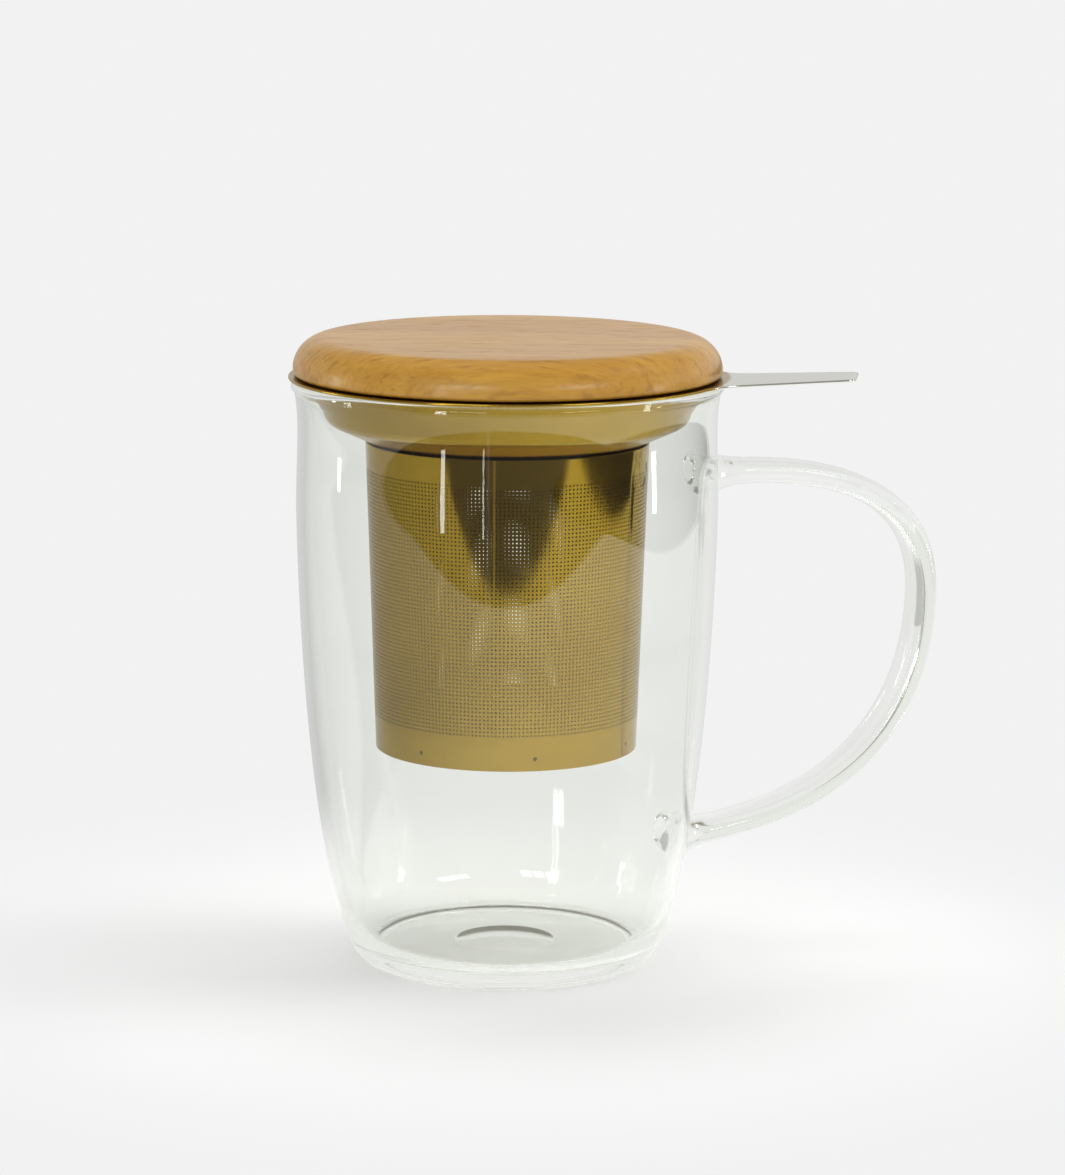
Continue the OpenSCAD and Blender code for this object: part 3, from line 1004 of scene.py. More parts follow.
@dataclass
class Collar:
    """The stamped flange, bowl and neck with its lifting tab, one sheet.

    Its section is at the right of the axis, and the tab lies along +X until it is turned.
    """

    mug: GlassMug
    sheet: float = 0.5
    flange_lap: float = 0.5
    bowl_gap: float = 2.3
    bowl_draft: float = 2.0
    bowl_wall_h: float = 8.4
    slope_w: float = 8.0
    slope_h: float = 4.0
    neck_h: float = 5.8
    rest_gap: float = 0.3
    tight_gap: float = 0.05
    tab_turn: float = -24.0
    tab_len: float = 26.3
    tab_root_w: float = 20.0
    tab_end_w: float = 12.5
    tab_fillet: float = 9.0
    tab_corner: float = 1.8
    tab_rise: float = 1.44
    coat_past: float = 0.6
    bend_at: float = 43.0
    bend_w: float = 2.0
    edge_r: float = 0.16
    flange_bend: float = 2.3
    bowl_bend: float = 3.5
    neck_bend: float = 0.5
    spokes: tuple[float, ...] = (0.2, 0.4, 0.6, 0.8, 0.93)

    def __post_init__(self) -> None:
        """Works out the heights and radii that follow from the sizes."""
        self.flange_z = self.mug.body_h + self.rest_gap
        self.flange_top = self.flange_z + self.sheet
        self.flange_r = self.mug.lip_r + self.flange_lap
        self.bowl_top_r = self.mug.belly_r - self.mug.wall - self.bowl_gap
        self.bowl_low_r = self.bowl_top_r - self.bowl_draft
        self.corner_z = self.flange_z - self.bowl_wall_h
        self.neck_z = self.corner_z - self.slope_h
        self.neck_low_z = self.neck_z - self.neck_h
        self.tube_top_r = self.bowl_low_r - self.slope_w

    def plan_outline(self) -> Path:
        """Half of the edge in plan, with Y above 0.

        Returns:
            The points from the tab's middle round to the far side.
        """
        reach = self.flange_r + self.tab_len
        lean = math.atan((self.tab_root_w - self.tab_end_w) / 2 / self.tab_len)
        normal = np.array([math.sin(lean), math.cos(lean)])
        d = float(normal @ [reach, self.tab_end_w / 2])
        far = self.flange_r + self.tab_fillet
        at = math.asin((d + self.tab_fillet) / far) - lean
        centre = far * np.array([math.cos(at), math.sin(at)])
        fillet = arc(centre, self.tab_fillet, 270 - math.degrees(lean), math.degrees(at) + 180, 14)
        corner_x = reach - self.tab_corner
        slope = math.tan(lean)
        corner_y = self.tab_end_w / 2 + self.tab_corner * slope
        end = rounded([([reach, 0], 0), ([reach, self.tab_end_w / 2], self.tab_corner),
                       ([corner_x - 4, corner_y + 4 * slope], 0)], 10)[:-1]
        steps = np.linspace(0, 1, 8)[1:-1, None]
        edge = end[-1] + (fillet[0] - end[-1]) * steps
        front = np.linspace(0, end[1][1], 7)[:-1]
        tip = np.stack([np.full(6, reach), front], axis=1)
        start = math.degrees(math.atan2(fillet[-1][1], fillet[-1][0]))
        rim = arc([0, 0], self.flange_r, start, 180, 150)
        return joined(tip, end[1:], edge, fillet, rim)

    def full_outline(self) -> Path:
        """The whole edge in plan, once round."""
        half = self.plan_outline()
        other = half[1:-1][::-1] * [1, -1]
        return np.concatenate([half, other])

    def tab_lift(self, x: np.ndarray) -> np.ndarray:
        """How high the tab has risen.

        Args:
            x: distances from the axis along the tab.

        Returns:
            The rise at each: none up to the bend, then a curve, then an even slope.
        """
        slope = self.tab_rise / (self.flange_r + self.tab_len - self.bend_at - self.bend_w / 2)
        past = np.clip(x - self.bend_at, 0, None)
        return slope * np.where(past < self.bend_w, past**2 / (2 * self.bend_w), past - self.bend_w / 2)

    def under_path(self, tube_inner_r: float) -> Path:
        """The underside of the bowl.

        Args:
            tube_inner_r: inner radius of the tube at the neck's foot.

        Returns:
            The points from the flange's root to the foot of the neck.
        """
        neck_r = tube_inner_r - self.tight_gap
        return rounded([([self.flange_r, self.flange_z], 0),
                        ([self.bowl_top_r, self.flange_z], self.flange_bend),
                        ([self.bowl_low_r, self.corner_z], self.bowl_bend),
                        ([neck_r, self.neck_z], self.neck_bend), ([neck_r, self.neck_low_z], 0)], 12)[1:]

    def build(self, tube_inner_r: float) -> bpy.types.Object:
        """Makes the collar and dresses it.

        Args:
            tube_inner_r: inner radius of the tube at the neck's foot.

        Returns:
            The piece.
        """
        edge = self.full_outline()
        n = len(edge)
        angle = np.arctan2(edge[:, 1], edge[:, 0])
        radial = np.stack([np.cos(angle), np.sin(angle)], axis=1)
        tangent = np.roll(edge, -1, axis=0) - np.roll(edge, 1, axis=0)
        tangent /= np.linalg.norm(tangent, axis=1, keepdims=True)
        inward = -np.stack([tangent[:, 1], -tangent[:, 0]], axis=1)
        under = self.under_path(tube_inner_r)
        over = beside(under, self.sheet)
        rings: list[np.ndarray] = []

        def ring(plan: np.ndarray, z: float) -> None:
            """Adds one loop of points at a height, lifted along the tab."""
            rings.append(np.column_stack([plan, z + self.tab_lift(plan[:, 0])]))

        def loops(root: float, e: float) -> list[np.ndarray]:
            """Loops from a root radius out to the edge, e inside it."""
            rim = edge + inward * e
            return [radial * root * (1 - t) + rim * t for t in self.spokes]

        r = self.edge_r
        soft = r * (1 - math.sqrt(0.5))
        for p in over[::-1]:
            ring(radial * p[0], p[1])
        for plan in loops(over[0][0], r):
            ring(plan, self.flange_top)
        for e, z in ((r, self.flange_top), (soft, self.flange_top - soft), (0, self.flange_top - r),
                     (0, self.flange_z + r), (soft, self.flange_z + soft), (r, self.flange_z)):
            ring(edge + inward * e, z)
        for plan in loops(under[0][0], r)[::-1]:
            ring(plan, self.flange_z)
        for p in under:
            ring(radial * p[0], p[1])
        count = len(rings)
        faces: Faces = [(i * n + j, (i + 1) % count * n + j, (i + 1) % count * n + (j + 1) % n,
                         i * n + (j + 1) % n) for i in range(count) for j in range(n)]
        draft = Draft(np.concatenate(rings), faces).turned(self.tab_turn)
        piece = draft.object("infuser_collar_and_tab", 40)
        finish = GoldFinish("gold_satin", roughness=0.2, pale_from=self.flange_r + self.coat_past)
        piece.data.materials.append(finish.material())
        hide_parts("infuser_collar")
        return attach(piece, "infuser")


@dataclass
class Tube:
    """The rolled, etched and tapered tube with its square holes.

    It is made as two halves, so that the many walls of its holes don't crowd one mesh.
    """

    collar: Collar
    height: float = 63.0
    draft: float = 2.1
    sheet: float = 0.4
    drop: float = 0.3
    pitch: float = 0.8
    hole: float = 0.34
    top_band: float = 5.0
    low_band: float = 6.6
    weld_count: int = 7
    weld_r: float = 0.55
    weld_flat: float = 0.15
    weld_depth: float = 0.12
    weld_up: float = 2.5
    weld_turn: float = 32.6

    def __post_init__(self) -> None:
        """Works out the heights and radii that follow from the sizes."""
        self.top_z = self.collar.neck_z - self.drop
        self.low_z = self.top_z - self.height
        self.top_r = self.collar.tube_top_r
        self.low_r = self.top_r - self.draft
        self.around = 2 * round(math.pi * (self.top_r + self.low_r) / self.pitch / 2)

    def radius_at(self, z: np.ndarray | float) -> np.ndarray | float:
        """The outer radius at a height."""
        return self.low_r + self.draft * (z - self.low_z) / self.height

    def welds(self) -> WeldRing:
        """Where the spot welds are.

        Returns:
            The ring of marks, for the material and for the dents.
        """
        z = self.low_z + self.weld_up
        first = self.collar.tab_turn + self.weld_turn
        return WeldRing(self.weld_count, first, float(self.radius_at(z)), z, self.weld_r)

    def build(self) -> list[bpy.types.Object]:
        """Makes the two halves of the tube's sheet and dresses them.

        Returns:
            Both pieces.
        """
        solid = self.pitch - self.hole
        first, last = self.low_z + self.low_band, self.top_z - self.top_band
        rows = int((last - first) / self.pitch)
        zs = list(np.linspace(self.low_z, first, 15))
        holes = set()
        for k in range(rows):
            z = first + k * self.pitch
            holes.add(len(zs))
            zs += [z + solid, z + self.pitch]
        zs += list(np.linspace(zs[-1], self.top_z, 8)[1:])
        heights = np.array(zs)
        step = 2 * math.pi / self.around
        share = solid / self.pitch
        slope = self.draft / self.height
        # Painted shade inside the tube: where its inner face lies.
        painted_inner_shade = (self.low_r - self.low_z * slope - self.sheet / 2, slope)
        finish = GoldFinish("gold_tube", roughness=0.06, weld_ring=self.welds(), painted_inner_shade=painted_inner_shade)
        material = finish.material()
        made = []
        for half, name in enumerate(("tube_half_front", "tube_half_back")):
            n = self.around // 2
            base = math.radians(180 + 180 * half)
            w = base + step * np.array([k // 2 + share * (k % 2) for k in range(2 * n + 1)])
            skins = []
            for inset in (0.0, self.sheet):
                r = self.radius_at(heights)[:, None] - inset
                z = np.broadcast_to(heights[:, None], (len(heights), len(w)))
                dent = self.weld_dent(w[None, :], heights[:, None])
                skins.append(np.stack([(r - dent) * np.cos(w), (r - dent) * np.sin(w), z], axis=2))
            draft = lattice(np.stack(skins), lambda i, j: i in holes and j % 2 == 1, False)
            piece = without_loose(draft).object(name, 35, weld=False)
            piece.data.materials.append(material)
            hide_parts("infuser_mesh")
            made.append(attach(piece, "infuser"))
        return made

    def weld_dent(self, w: np.ndarray, z: np.ndarray) -> np.ndarray:
        """How deep the weld marks press the sheet in.

        Args:
            w: angles about the axis.
            z: heights.

        Returns:
            The depth at each place.
        """
        ring = self.welds()
        step = 2 * math.pi / ring.count
        off = (w - math.radians(ring.first) + step / 2) % step - step / 2
        far = np.hypot(off * ring.radius, z - ring.height)
        return self.weld_depth * (1 - smooth_step(self.weld_flat, self.weld_r, far))


@dataclass
class BaseCup:
    """The shallow cup that closes the tube, with holes in its floor."""

    tube: Tube
    rim_h: float = 6.0
    corner: float = 1.4
    step: float = 0.5
    pitch: float = 0.8
    hole: float = 0.42
    plain_edge: float = 3.4
    corner_room: float = 3.0
    hole_margin: float = 0.8
    segments: int = 160

    def build(self) -> bpy.types.Object:
        """Makes the cup and dresses it.

        Returns:
            The piece.
        """
        t, gap, sheet = self.tube, self.tube.collar.tight_gap, self.tube.sheet
        z0 = t.low_z + self.step
        inner = float(t.radius_at(z0)) - sheet - gap
        top = float(t.radius_at(z0 + self.rim_h)) - sheet - gap
        floor_r = inner - self.corner_room
        under = rounded([([floor_r, z0], 0), ([inner, z0], self.corner), ([top, z0 + self.rim_h], 0)], 8)
        over = beside(under, -sheet)
        rim = joined(under, over[::-1])
        count = len(rim)
        draft = revolve(rim, self.segments)
        s = self.segments
        draft.faces = [f for f in draft.faces if not (min(f) < s and max(f) >= (count - 1) * s)]
        floor = self.floor_draft(floor_r, z0, sheet)
        piece = draft.joined_with(floor).object("infuser_base_cup", 35)
        piece.data.materials.append(GoldFinish("gold_base", roughness=0.2).material())
        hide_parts("infuser_base")
        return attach(piece, "infuser")

    def floor_draft(self, radius: float, z: float, sheet: float) -> Draft:
        """The floor inside the rounded edge, with its lattice of holes.

        Args:
            radius: where the rounded edge takes over.
            z: the height of the underside.
            sheet: the sheet's thickness.

        Returns:
            The draft of the floor.
        """
        n = int((radius - self.plain_edge + self.corner_room) / self.pitch)
        solid = self.pitch - self.hole
        ticks = [k * self.pitch + off for k in range(-n, n) for off in (0.0, solid)] + [n * self.pitch]
        xs = np.array(ticks) - solid / 2
        reach = radius - self.hole_margin

        def inside(i: int, j: int) -> bool:
            """Whether a lattice cell lies within the perforated round."""
            far = max(abs(xs[i]), abs(xs[i + 1])), max(abs(xs[j]), abs(xs[j + 1]))
            return math.hypot(*far) < reach

        grid = np.stack(np.meshgrid(xs, xs, indexing="xy"), axis=2)
        skins = [np.dstack([grid, np.full(grid.shape[:2], h)]) for h in (z + sheet, z)]
        cells = {(i, j) for i in range(len(xs) - 1) for j in range(len(xs) - 1) if inside(i, j)}

        def is_hole(i: int, j: int) -> bool:
            """Whether a cell is open, or lies past the perforated round."""
            return (i, j) not in cells or (i % 2 == 1 and j % 2 == 1)

        draft = without_loose(lattice(np.stack(skins), is_hole, False))
        draft.faces = [f for f in draft.faces if not self.is_outer_wall(draft.verts, f, xs, cells)]
        flat, tris = self.stitches(xs, cells, radius)
        top = Draft(np.column_stack([flat, np.full(len(flat), z + sheet)]), [tuple(t) for t in tris])
        low = Draft(np.column_stack([flat, np.full(len(flat), z)]), [tuple(reversed(t)) for t in tris])
        return draft.joined_with(top).joined_with(low)

    def is_outer_wall(self, verts: np.ndarray, face: tuple[int, ...], xs: np.ndarray,
                      cells: set[Cell]) -> bool:
        """Whether a face is a wall on the lattice's outer boundary, where the plain edge goes on.

        Args:
            verts: the lattice's points.
            face: the face's points, as their numbers.
            xs: where the lattice's lines are.
            cells: the cells of the perforated round.

        Returns:
            True for a wall with no cell on one of its sides.
        """
        points = verts[list(face)]
        if np.ptp(points[:, 2]) < 1e-6:
            return False
        middle = points.mean(axis=0)
        across = 0 if np.ptp(points[:, 0]) < 1e-6 else 1
        for side in (-1e-3, 1e-3):
            p = middle.copy()
            p[across] += side
            j, i = (int(np.searchsorted(xs, p[a]) - 1) for a in (0, 1))
            if (i, j) not in cells:
                return True
        return False

    def stitches(self, xs: np.ndarray, cells: set[Cell],
                 radius: float) -> tuple[np.ndarray, list[Sequence[int]]]:
        """Triangles between the lattice's stepped boundary and the circle round it.

        Args:
            xs: where the lattice's lines are.
            cells: the cells of the perforated round.
            radius: the circle's radius.

        Returns:
            The points in plan, and the triangles.
        """
        edges: set[tuple[Cell, Cell]] = set()
        for i, j in cells:
            for di, dj, a, b in NEIGHBOURS:
                if (i + di, j + dj) not in cells:
                    edges.add(((i + a[0], j + a[1]), (i + b[0], j + b[1])))
        corners = sorted({p for e in edges for p in e})
        place = {p: k for k, p in enumerate(corners)}
        points = [Vector((xs[j], xs[i])) for i, j in corners]
        s = self.segments
        turns = [2 * math.pi * k / s for k in range(s)]
        circle = [Vector((radius * math.cos(w), radius * math.sin(w))) for w in turns]
        shift = len(points)
        lines = [(place[a], place[b]) for a, b in sorted(edges)]
        lines += [(shift + k, shift + (k + 1) % s) for k in range(s)]
        flat, _, tris, *_ = delaunay_2d_cdt(points + circle, lines, [], 0, TOUCHING)
        flat = np.array([[p.x, p.y] for p in flat])
        kept = []
        for t in tris:
            x, y = flat[list(t)].mean(axis=0)
            i, j = int(np.searchsorted(xs, y) - 1), int(np.searchsorted(xs, x) - 1)
            if math.hypot(x, y) < radius and (i, j) not in cells:
                kept.append(tuple(t))
        return flat, kept


# ---- the lid ----


@dataclass
class Lid:
    """The turned wooden disc with the plug under it, which a groove goes round."""

    collar: Collar
    inset: float = 0.9
    thick: float = 7.6
    shoulder: float = 6.4
    edge: float = 0.9
    groove_drop: float = 0.9
    groove_d: float = 1.5
    plug_foot: float = 1.4
    plug_edge: float = 0.6
    seal_h: float = 2.6
    plug_gap: float = 1.1
    eased: float = 0.12
    crown_rings: int = 12
    segments: int = 256

    def __post_init__(self) -> None:
        """Works out the heights and radii that follow from the sizes."""
        c = self.collar
        self.z = c.flange_top + c.rest_gap
        self.r = c.flange_r - self.inset
        self.groove_top = self.z - self.groove_drop
        self.groove_low = self.groove_top - self.seal_h - 2 * c.tight_gap
        self.plug_z = self.groove_low - self.plug_foot
        self.plug_r = self.bowl_inner_r(self.plug_z) - self.plug_gap
        self.groove_r = self.plug_r - self.groove_d

    def bowl_inner_r(self, z: float) -> float:
        """The inner radius of the collar's bowl.

        Args:
            z: the height.

        Returns:
            The radius there.
        """
        c = self.collar
        return c.bowl_low_r + c.bowl_draft * (z - c.corner_z) / c.bowl_wall_h - c.sheet * 1.05

    def build(self) -> bpy.types.Object:
        """Makes the lid and dresses it.

        Returns:
            The piece.
        """
        top, eased = self.z + self.thick, self.eased
        outline = rounded([
            ([0, self.plug_z], 0), ([self.plug_r, self.plug_z], self.plug_edge),
            ([self.plug_r, self.groove_low], eased), ([self.groove_r, self.groove_low], eased),
            ([self.groove_r, self.groove_top], eased), ([self.plug_r, self.groove_top], eased),
            ([self.plug_r, self.z], eased), ([self.r, self.z], self.edge),
            ([self.r, top], self.shoulder), ([0, top], 0)], 14)
        crown = np.linspace(outline[-2][0], 0, self.crown_rings)[1:-1]
        flat = np.column_stack([crown, np.full(len(crown), top)])
        outline = joined(outline[:-1], flat, outline[-1:])
        piece = revolve(outline, self.segments).object("lid_disc_turned", 35)
        piece.data.materials.append(WoodFinish().material())
        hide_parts("lid_disc")
        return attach(piece, "lid")


@dataclass
class Seal:
    """The silicone ring in the plug's groove, with two lips."""

    lid: Lid
    lip_t: float = 0.5
    gap: float = 0.3
    lean: float = 0.5

    def build(self) -> bpy.types.Object:
        """Makes the seal and dresses it.

        Returns:
            The piece.
        """
        lid, tight = self.lid, self.lid.collar.tight_gap
        low = lid.groove_low + tight
        top = low + lid.seal_h
        back, inner = lid.plug_r + 0.2, lid.groove_r + tight
        corners: list[tuple[Sequence[float], float]] = [
            ([inner, low + 0.3], 0), ([inner, low], 0.1), ([back, low], 0.1)]
        for z in (low + 0.2, low + lid.seal_h / 2 + 0.1):
            tip = lid.bowl_inner_r(z) - self.gap
            corners += [([back, z], 0.05), ([tip, z + self.lean], 0.08),
                        ([tip, z + self.lean + self.lip_t * 0.6], 0.08), ([back, z + self.lip_t], 0.05)]
        corners += [([back, top], 0.1), ([inner, top], 0.1), ([inner, low + 0.3], 0)]
        piece = revolve(rounded(corners, 4)[:-1], 192).object("lid_seal_ring", 35)
        piece.data.materials.append(SiliconeFinish().material())
        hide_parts("lid_seal")
        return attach(piece, "lid")


# ---- the studio ----


@dataclass(frozen=True)
class Lamp:
    """One rectangular lamp that points at the mug, with places and sizes in metres."""

    name: str
    place: tuple[float, float, float]
    size: tuple[float, float]
    power: float
    mirrored: bool = False

    def build(self, target: Vector) -> None:
        """Makes the lamp, which no camera sees and which shows in a gloss only where it is mirrored.

        A mirrored lamp has a twin for rays that leave the glass after a reflection inside it,
        which lifts the tone of the heel.

        Args:
            target: what it points at.
        """
        lamp = self.hung(self.name, target)
        lamp.visible_glossy = self.mirrored
        if not self.mirrored:
            return
        twin = self.hung(self.name + "_within", target)
        twin.visible_transmission = True
        twin.data.use_nodes = True
        g = Graph(twin.data.node_tree)
        depth = g.add("LightPath").outputs["Glossy Depth"]
        emission = g.tree.nodes["Emission"]
        g.tree.links.new(g.math("GREATER_THAN", depth, 0.5), emission.inputs["Strength"])

    def hung(self, name: str, target: Vector) -> bpy.types.Object:
        """One rectangle of light at the lamp's place, hidden from every ray but the shading ones.

        Args:
            name: its name.
            target: what it points at.

        Returns:
            The lamp's object.
        """
        data = bpy.data.lights.new(name, "AREA")
        data.shape, data.size, data.size_y = "RECTANGLE", self.size[0], self.size[1]
        data.energy = self.power
        lamp = bpy.data.objects.new(name, data)
        lamp.location = self.place
        lamp.rotation_euler = (target - Vector(self.place)).to_track_quat("-Z", "Y").to_euler()
        lamp.visible_camera = lamp.visible_transmission = lamp.visible_glossy = False
        bpy.context.scene.collection.objects.link(lamp)
        return lamp


@dataclass(frozen=True)
class Gleam:
    """A bright patch of the room that shows only in reflections inside the glass.

    The azimuth and the half width are in degrees round from the camera's side, taken at
    an elevation of lean_from and leaning by lean degrees for each degree above it. The low and
    high ends are elevations in degrees.
    """

    azimuth: float
    half: float
    low: float
    high: float
    glow: float
    edge: float = 0.8
    lean: ClassVar[float] = 0.4
    lean_from: ClassVar[float] = 5.0

    def light(self, g: Graph, turn: object, height: object) -> Socket:
        """How bright the gleam is in a direction.

        Args:
            g: the world's graph.
            turn: the direction's azimuth, with the lean taken out.
            height: its elevation.

        Returns:
            Its glow inside the patch and 0 outside.
        """
        off = g.math("ABSOLUTE", g.math("SUBTRACT", turn, self.azimuth))
        across = g.spread(off, 0.7 * self.half, 1.3 * self.half, self.glow, 0.0)
        above = g.spread(height, self.low - self.edge, self.low + self.edge)
        below = g.spread(height, self.high - self.edge, self.high + self.edge, 1.0, 0.0)
        return g.product(across, above, below)


@dataclass
class Studio:
    """A white table in a darker room with windows, soft lamps and the camera.

    Tones are fractions of white. The floor near the mug shades as paper does; from near to far
    it turns into an even tone. In a gloss the table ends in front and at the right, and there
    it is dark, apart from a lighter lane that runs away from the mug. Metal mirrors a darker
    room, and light caught in one wall of glass comes from a paler one.
    """

    paper: float = 0.888
    near: float = 0.06
    far: float = 0.15
    softened: float = 0.2
    floor_r: float = 6.0
    floor_rings: tuple[float, ...] = (0.6, 0.2, 0.06, 0.0)
    room: float = 0.45
    room_high: float = 0.7
    room_dark: float = 0.35
    high_from: Range = (0.25, 0.6)
    room_front: float = 0.25
    front_from: Range = (-0.1, 0.4)
    inside_light: float = 0.86
    inside_dark: float = 0.05
    inside_from: Range = (0.35, 0.75)
    table_front: float = 0.345
    table_right: float = 0.47
    table_edge: float = 0.004
    beyond_front: float = 0.13
    beyond_right: float = 0.05
    lane_side: float = -0.169
    lane_w: float = 0.02
    lane: float = 0.45
    bright_side: tuple[float, float] = (0.819, 0.574)
    evenness: float = 0.92
    lean: float = 0.30
    pane_far: float = 1.5
    pane_up: float = 0.68
    pane_size: tuple[float, float] = (0.14, 0.3)
    pane_step: float = 7.3
    lit_at: tuple[float, float, float] = (0.0, 0.0, 0.06)
    camera_at: tuple[float, float, float] = (-240.6, -805.0, 230.3)
    heading: float = 17.0
    pitch: float = 10.34
    roll: float = 0.337
    focal_px: float = 4169.8
    photo_h: float = 1175.0

    def spot(self, right: float, front: float, up: float) -> tuple[float, float, float]:
        """A place told from where the camera stands.

        Args:
            right: how far it lies to the right, in metres.
            front: how far it lies towards the camera.
            up: its height.

        Returns:
            The place in the frame.
        """
        c, s = math.cos(math.radians(self.heading)), math.sin(math.radians(self.heading))
        return (right * c - front * s, -right * s - front * c, up)

    def mirrored(self, g: Graph, rays: object) -> Socket:
        """1 for rays that a gloss has sent on, and 0 for the rest."""
        return g.math("GREATER_THAN", rays["Glossy Depth"], 0.5)

    def seen(self, g: Graph, rays: object) -> Socket:
        """1 for rays from the camera, from a gloss and through glass, and 0 for the rest."""
        mirror = g.math("MAXIMUM", rays["Is Glossy Ray"], rays["Is Transmission Ray"])
        return g.math("MAXIMUM", rays["Is Camera Ray"], mirror)

    def inside(self, g: Graph, rays: object) -> Socket:
        """Finds rays that were reflected within one wall or bar of glass.

        Args:
            g: the world's graph.
            rays: the outputs of its Light Path node.

        Returns:
            1 for them and 0 for the rest.
        """
        entered = g.math("GREATER_THAN", rays["Transmission Depth"], 0.5)
        one_wall = g.math("LESS_THAN", rays["Transmission Depth"], 2.5)
        return g.product(self.mirrored(g, rays), entered, one_wall)

    def leaning(self, g: Graph, direction: object) -> Socket:
        """How bright the room is: more on its bright side and less across from it.

        Args:
            g: the graph.
            direction: a unit vector.

        Returns:
            A share near 1.
        """
        towards = g.along(direction, self.spot(*self.bright_side, 0))
        return g.math("ADD", self.evenness, g.math("MULTIPLY", towards, self.lean))

    def gleams(self) -> Iterable[Gleam]:
        """The panes of both windows, then the streaks at the front, left and right.

        Yields:
            The gleams.
        """
        for pane in (-1, 0, 1):
            yield Gleam(-18.5 + 10.0 * pane, 3.6, 20.6, 29.0, 22.0)
            yield Gleam(52.0 + 8.8 * pane, 3.2, 23.5, 30.5, 22.0)
        yield Gleam(-33.0, 1.1, 5.0, 8.6, 12.0)
        yield Gleam(-36.9, 1.4, 5.0, 8.6, 18.0)
        yield Gleam(-31.2, 0.5, 8.6, 17.3, 4.0)
        yield Gleam(-34.1, 0.6, 8.6, 17.3, 5.0)
        yield Gleam(83.0, 2.2, -0.3, 9.5, 12.0)
        yield Gleam(-94.0, 1.5, 7.0, 12.0, 14.0)
        yield Gleam(-96.8, 0.7, 8.0, 20.0, 10.0)

    def gleaming(self, g: Graph, up: object, front: object, right: object) -> Socket:
        """How much light the gleams add.

        Args:
            g: the world's graph.
            up: the direction's part upwards.
            front: its part towards the camera.
            right: its part to the right.

        Returns:
            The sum of the gleams in that direction.
        """
        height = g.math("DEGREES", g.math("ARCSINE", up))
        turn = g.math("DEGREES", g.math("ARCTAN2", right, front))
        above = g.math("SUBTRACT", height, Gleam.lean_from)
        turn = g.math("ADD", turn, g.math("MULTIPLY", above, Gleam.lean))
        total: object = 0.0
        for gleam in self.gleams():
            total = g.math("ADD", total, gleam.light(g, turn, height))
        return total

    def table_tone(self, g: Graph, place: object, mirror: object) -> tuple[Socket, Socket]:
        """The table's even tone.

        Args:
            g: the floor's graph.
            place: the place on the floor, in metres.
            mirror: 1 where a gloss shows it and 0 elsewhere.

        Returns:
            The tone, and 1 where a gloss shows what lies past the table's edges.
        """
        front = g.along(place, self.spot(0, 1, 0))
        right = g.along(place, self.spot(1, 0, 0))
        soft = self.table_edge
        past_front = g.spread(front, self.table_front - soft, self.table_front + soft)
        past_right = g.spread(right, self.table_right - soft, self.table_right + soft)
        side = g.math("SUBTRACT", g.math("DIVIDE", right, front), self.lane_side)
        lane = g.spread(g.math("ABSOLUTE", side), 0.0, self.lane_w, self.lane, self.beyond_front)
        level = g.blend(past_right, g.blend(past_front, self.paper, lane), self.beyond_right)
        outward = g.add("VectorMath", {0: place}, operation="NORMALIZE").outputs["Vector"]
        level = g.math("MULTIPLY", level, self.leaning(g, outward))
        past = g.math("MULTIPLY", mirror, g.math("MAXIMUM", past_front, past_right))
        return g.blend(mirror, self.paper, level), past

    def floor(self) -> None:
        """Makes the table: real shading round the mug, an even tone further out."""
        rings = np.array([[r / MM, 0] for r in (self.floor_r, *self.floor_rings)])
        floor = revolve(rings, 96, closed=False).object("floor", 30)
        material, g, shader = new_material("floor_paper")
        shader.inputs["Base Color"].default_value = rgba((self.paper,) * 3)
        shader.inputs["Roughness"].default_value = 1.0
        shader.inputs["Specular IOR Level"].default_value = 0.0
        place = g.add("NewGeometry").outputs["Position"]
        rays = g.add("LightPath").outputs
        level, past = self.table_tone(g, place, self.mirrored(g, rays))
        glow = g.add("Emission", {"Color": rgba((1.0, 1.0, 1.0)), "Strength": level})
        share = g.spread(g.length(place), self.near, self.far, self.softened, 1.0)
        share = g.math("MULTIPLY", g.math("MAXIMUM", share, past), self.seen(g, rays))
        out = material.node_tree.nodes["Material Output"]
        g.tree.links.new(g.either(share, shader, glow).outputs[0], out.inputs["Surface"])
        floor.data.materials.append(material)

    def world(self) -> None:
        """Makes the room: paper white where the camera looks, darker above and behind it."""
        world = bpy.data.worlds.new("room")
        world.use_nodes = True
        bpy.context.scene.world = world
        g = Graph(world.node_tree)
        ground = world.node_tree.nodes["Background"]
        ground.inputs["Color"].default_value = rgba((1.0, 1.0, 1.0))
        rays = g.add("LightPath").outputs
        away = g.add("TexCoord").outputs["Generated"]
        up = g.along(away, (0, 0, 1))
        front = g.along(away, self.spot(0, 1, 0))
        right = g.along(away, self.spot(1, 0, 0))
        mirror = self.mirrored(g, rays)
        leaning = self.leaning(g, away)
        high = g.blend(mirror, self.room_high, self.room_dark)
        level = g.blend(g.spread(up, *self.high_from), self.paper, high)
        facing = g.math("MULTIPLY", g.spread(front, *self.front_from), mirror)
        level = g.blend(facing, level, self.room_front)
        level = g.blend(mirror, level, g.math("MULTIPLY", level, leaning))
        inside = g.spread(front, *self.inside_from, self.inside_light, self.inside_dark)
        level = g.blend(self.inside(g, rays), level, inside)
        gleaming = g.product(self.gleaming(g, up, front, right), mirror, rays["Is Transmission Ray"])
        level = g.math("ADD", level, gleaming)
        level = g.blend(rays["Is Camera Ray"], level, self.paper)
        soft = g.math("MULTIPLY", leaning, self.room)
        g.tree.links.new(g.blend(self.seen(g, rays), soft, level), ground.inputs["Strength"])

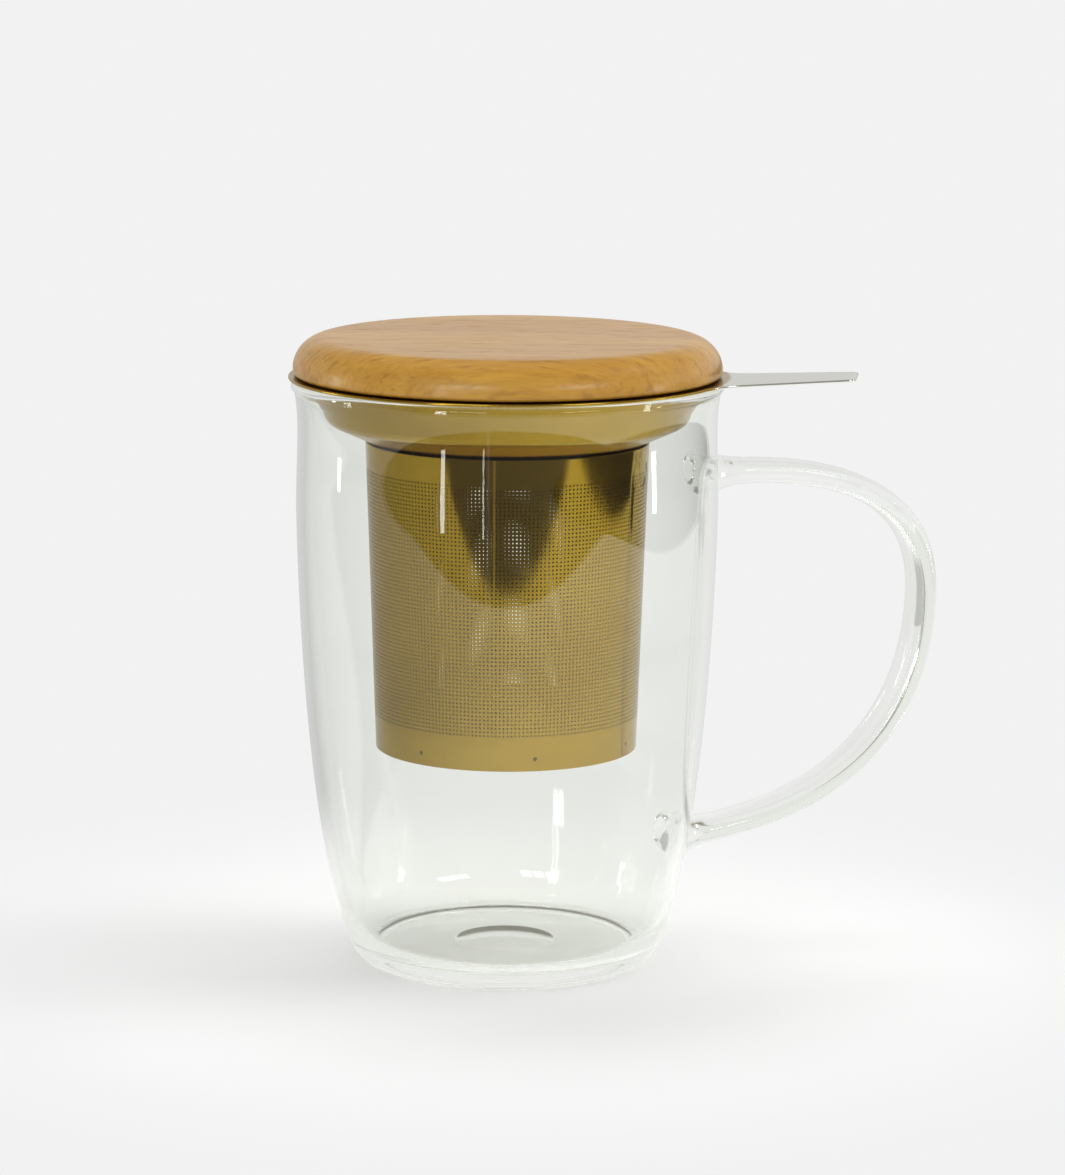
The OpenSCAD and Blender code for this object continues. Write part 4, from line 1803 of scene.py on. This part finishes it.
    def lamps(self) -> Iterable[Lamp]:
        """The soft lamps, then the windows and the strips of light that the gloss shows.

        Yields:
            The lamps.
        """
        yield Lamp("key_right", (0.75, -0.15, 0.95), (0.4, 0.4), 5.1)
        yield Lamp("fill_left", (-0.9, -0.45, 0.7), (0.5, 0.5), 1.7)
        yield Lamp("top", (-0.02, 0.35, 1.15), (0.7, 0.5), 5.0)
        for name, azimuth in (("window_right", 40.6), ("window_left", -20.3)):
            for pane in (-1, 0, 1):
                turn = math.radians(azimuth + self.pane_step * pane)
                right, front = self.pane_far * math.sin(turn), self.pane_far * math.cos(turn)
                place = self.spot(right, front, self.pane_up)
                yield Lamp(f"{name}_{pane + 2}", place, self.pane_size, 0.9, True)
        yield Lamp("strip_tall", self.spot(-0.295, 0.452, 0.16), (0.022, 0.31), 0.25, True)
        yield Lamp("strip_low", self.spot(-0.114, 0.544, 0.03), (0.008, 0.055), 0.012, True)
        yield Lamp("strip_right", self.spot(0.597, 0.063, 0.07), (0.035, 0.10), 0.14, True)
        yield Lamp("strip_left", self.spot(-0.591, -0.104, 0.12), (0.03, 0.18), 0.2, True)

    def camera(self) -> None:
        """Makes the camera at the photograph's place."""
        heading, pitch, roll = (math.radians(a) for a in (self.heading, self.pitch, self.roll))
        level = Vector((math.sin(heading), math.cos(heading), 0))
        ahead = level * math.cos(pitch) + Vector((0, 0, -math.sin(pitch)))
        across = ahead.cross(Vector((0, 0, 1))).normalized()
        over = across.cross(ahead)
        right = across * math.cos(roll) + over * math.sin(roll)
        up = over * math.cos(roll) - across * math.sin(roll)
        data = bpy.data.cameras.new("camera")
        data.sensor_width = 36.0
        data.lens = data.sensor_width * self.focal_px / self.photo_h
        data.clip_start, data.clip_end = 0.01, 50.0
        camera = bpy.data.objects.new("camera", data)
        turn = Matrix((right, up, -ahead)).transposed().to_4x4()
        camera.matrix_world = Matrix.Translation(Vector(self.camera_at) * MM) @ turn
        bpy.context.scene.collection.objects.link(camera)
        bpy.context.scene.camera = camera

    def build(self) -> None:
        """Makes the camera, the floor, the room and the lamps."""
        self.camera()
        self.floor()
        self.world()
        for lamp in self.lamps():
            lamp.build(Vector(self.lit_at))
        bpy.context.scene.view_settings.view_transform = "Standard"


def main() -> None:
    """Builds the mug, the infuser and the lid in their studio, and logs the pieces' names and the tube
    halves' face counts.
    """
    logging.basicConfig(level=logging.INFO, format="%(message)s")
    Studio().build()
    mug = GlassMug()
    LOG.info("glass: %s", mug.build().name)
    collar = Collar(mug)
    tube = Tube(collar)
    LOG.info("collar: %s", collar.build(float(tube.radius_at(collar.neck_low_z)) - tube.sheet).name)
    for half in tube.build():
        LOG.info("tube: %s, %d faces", half.name, len(half.data.polygons))
    LOG.info("base: %s", BaseCup(tube).build().name)
    lid = Lid(collar)
    LOG.info("lid: %s", lid.build().name)
    LOG.info("seal: %s", Seal(lid).build().name)


if __name__ == "__main__":
    main()
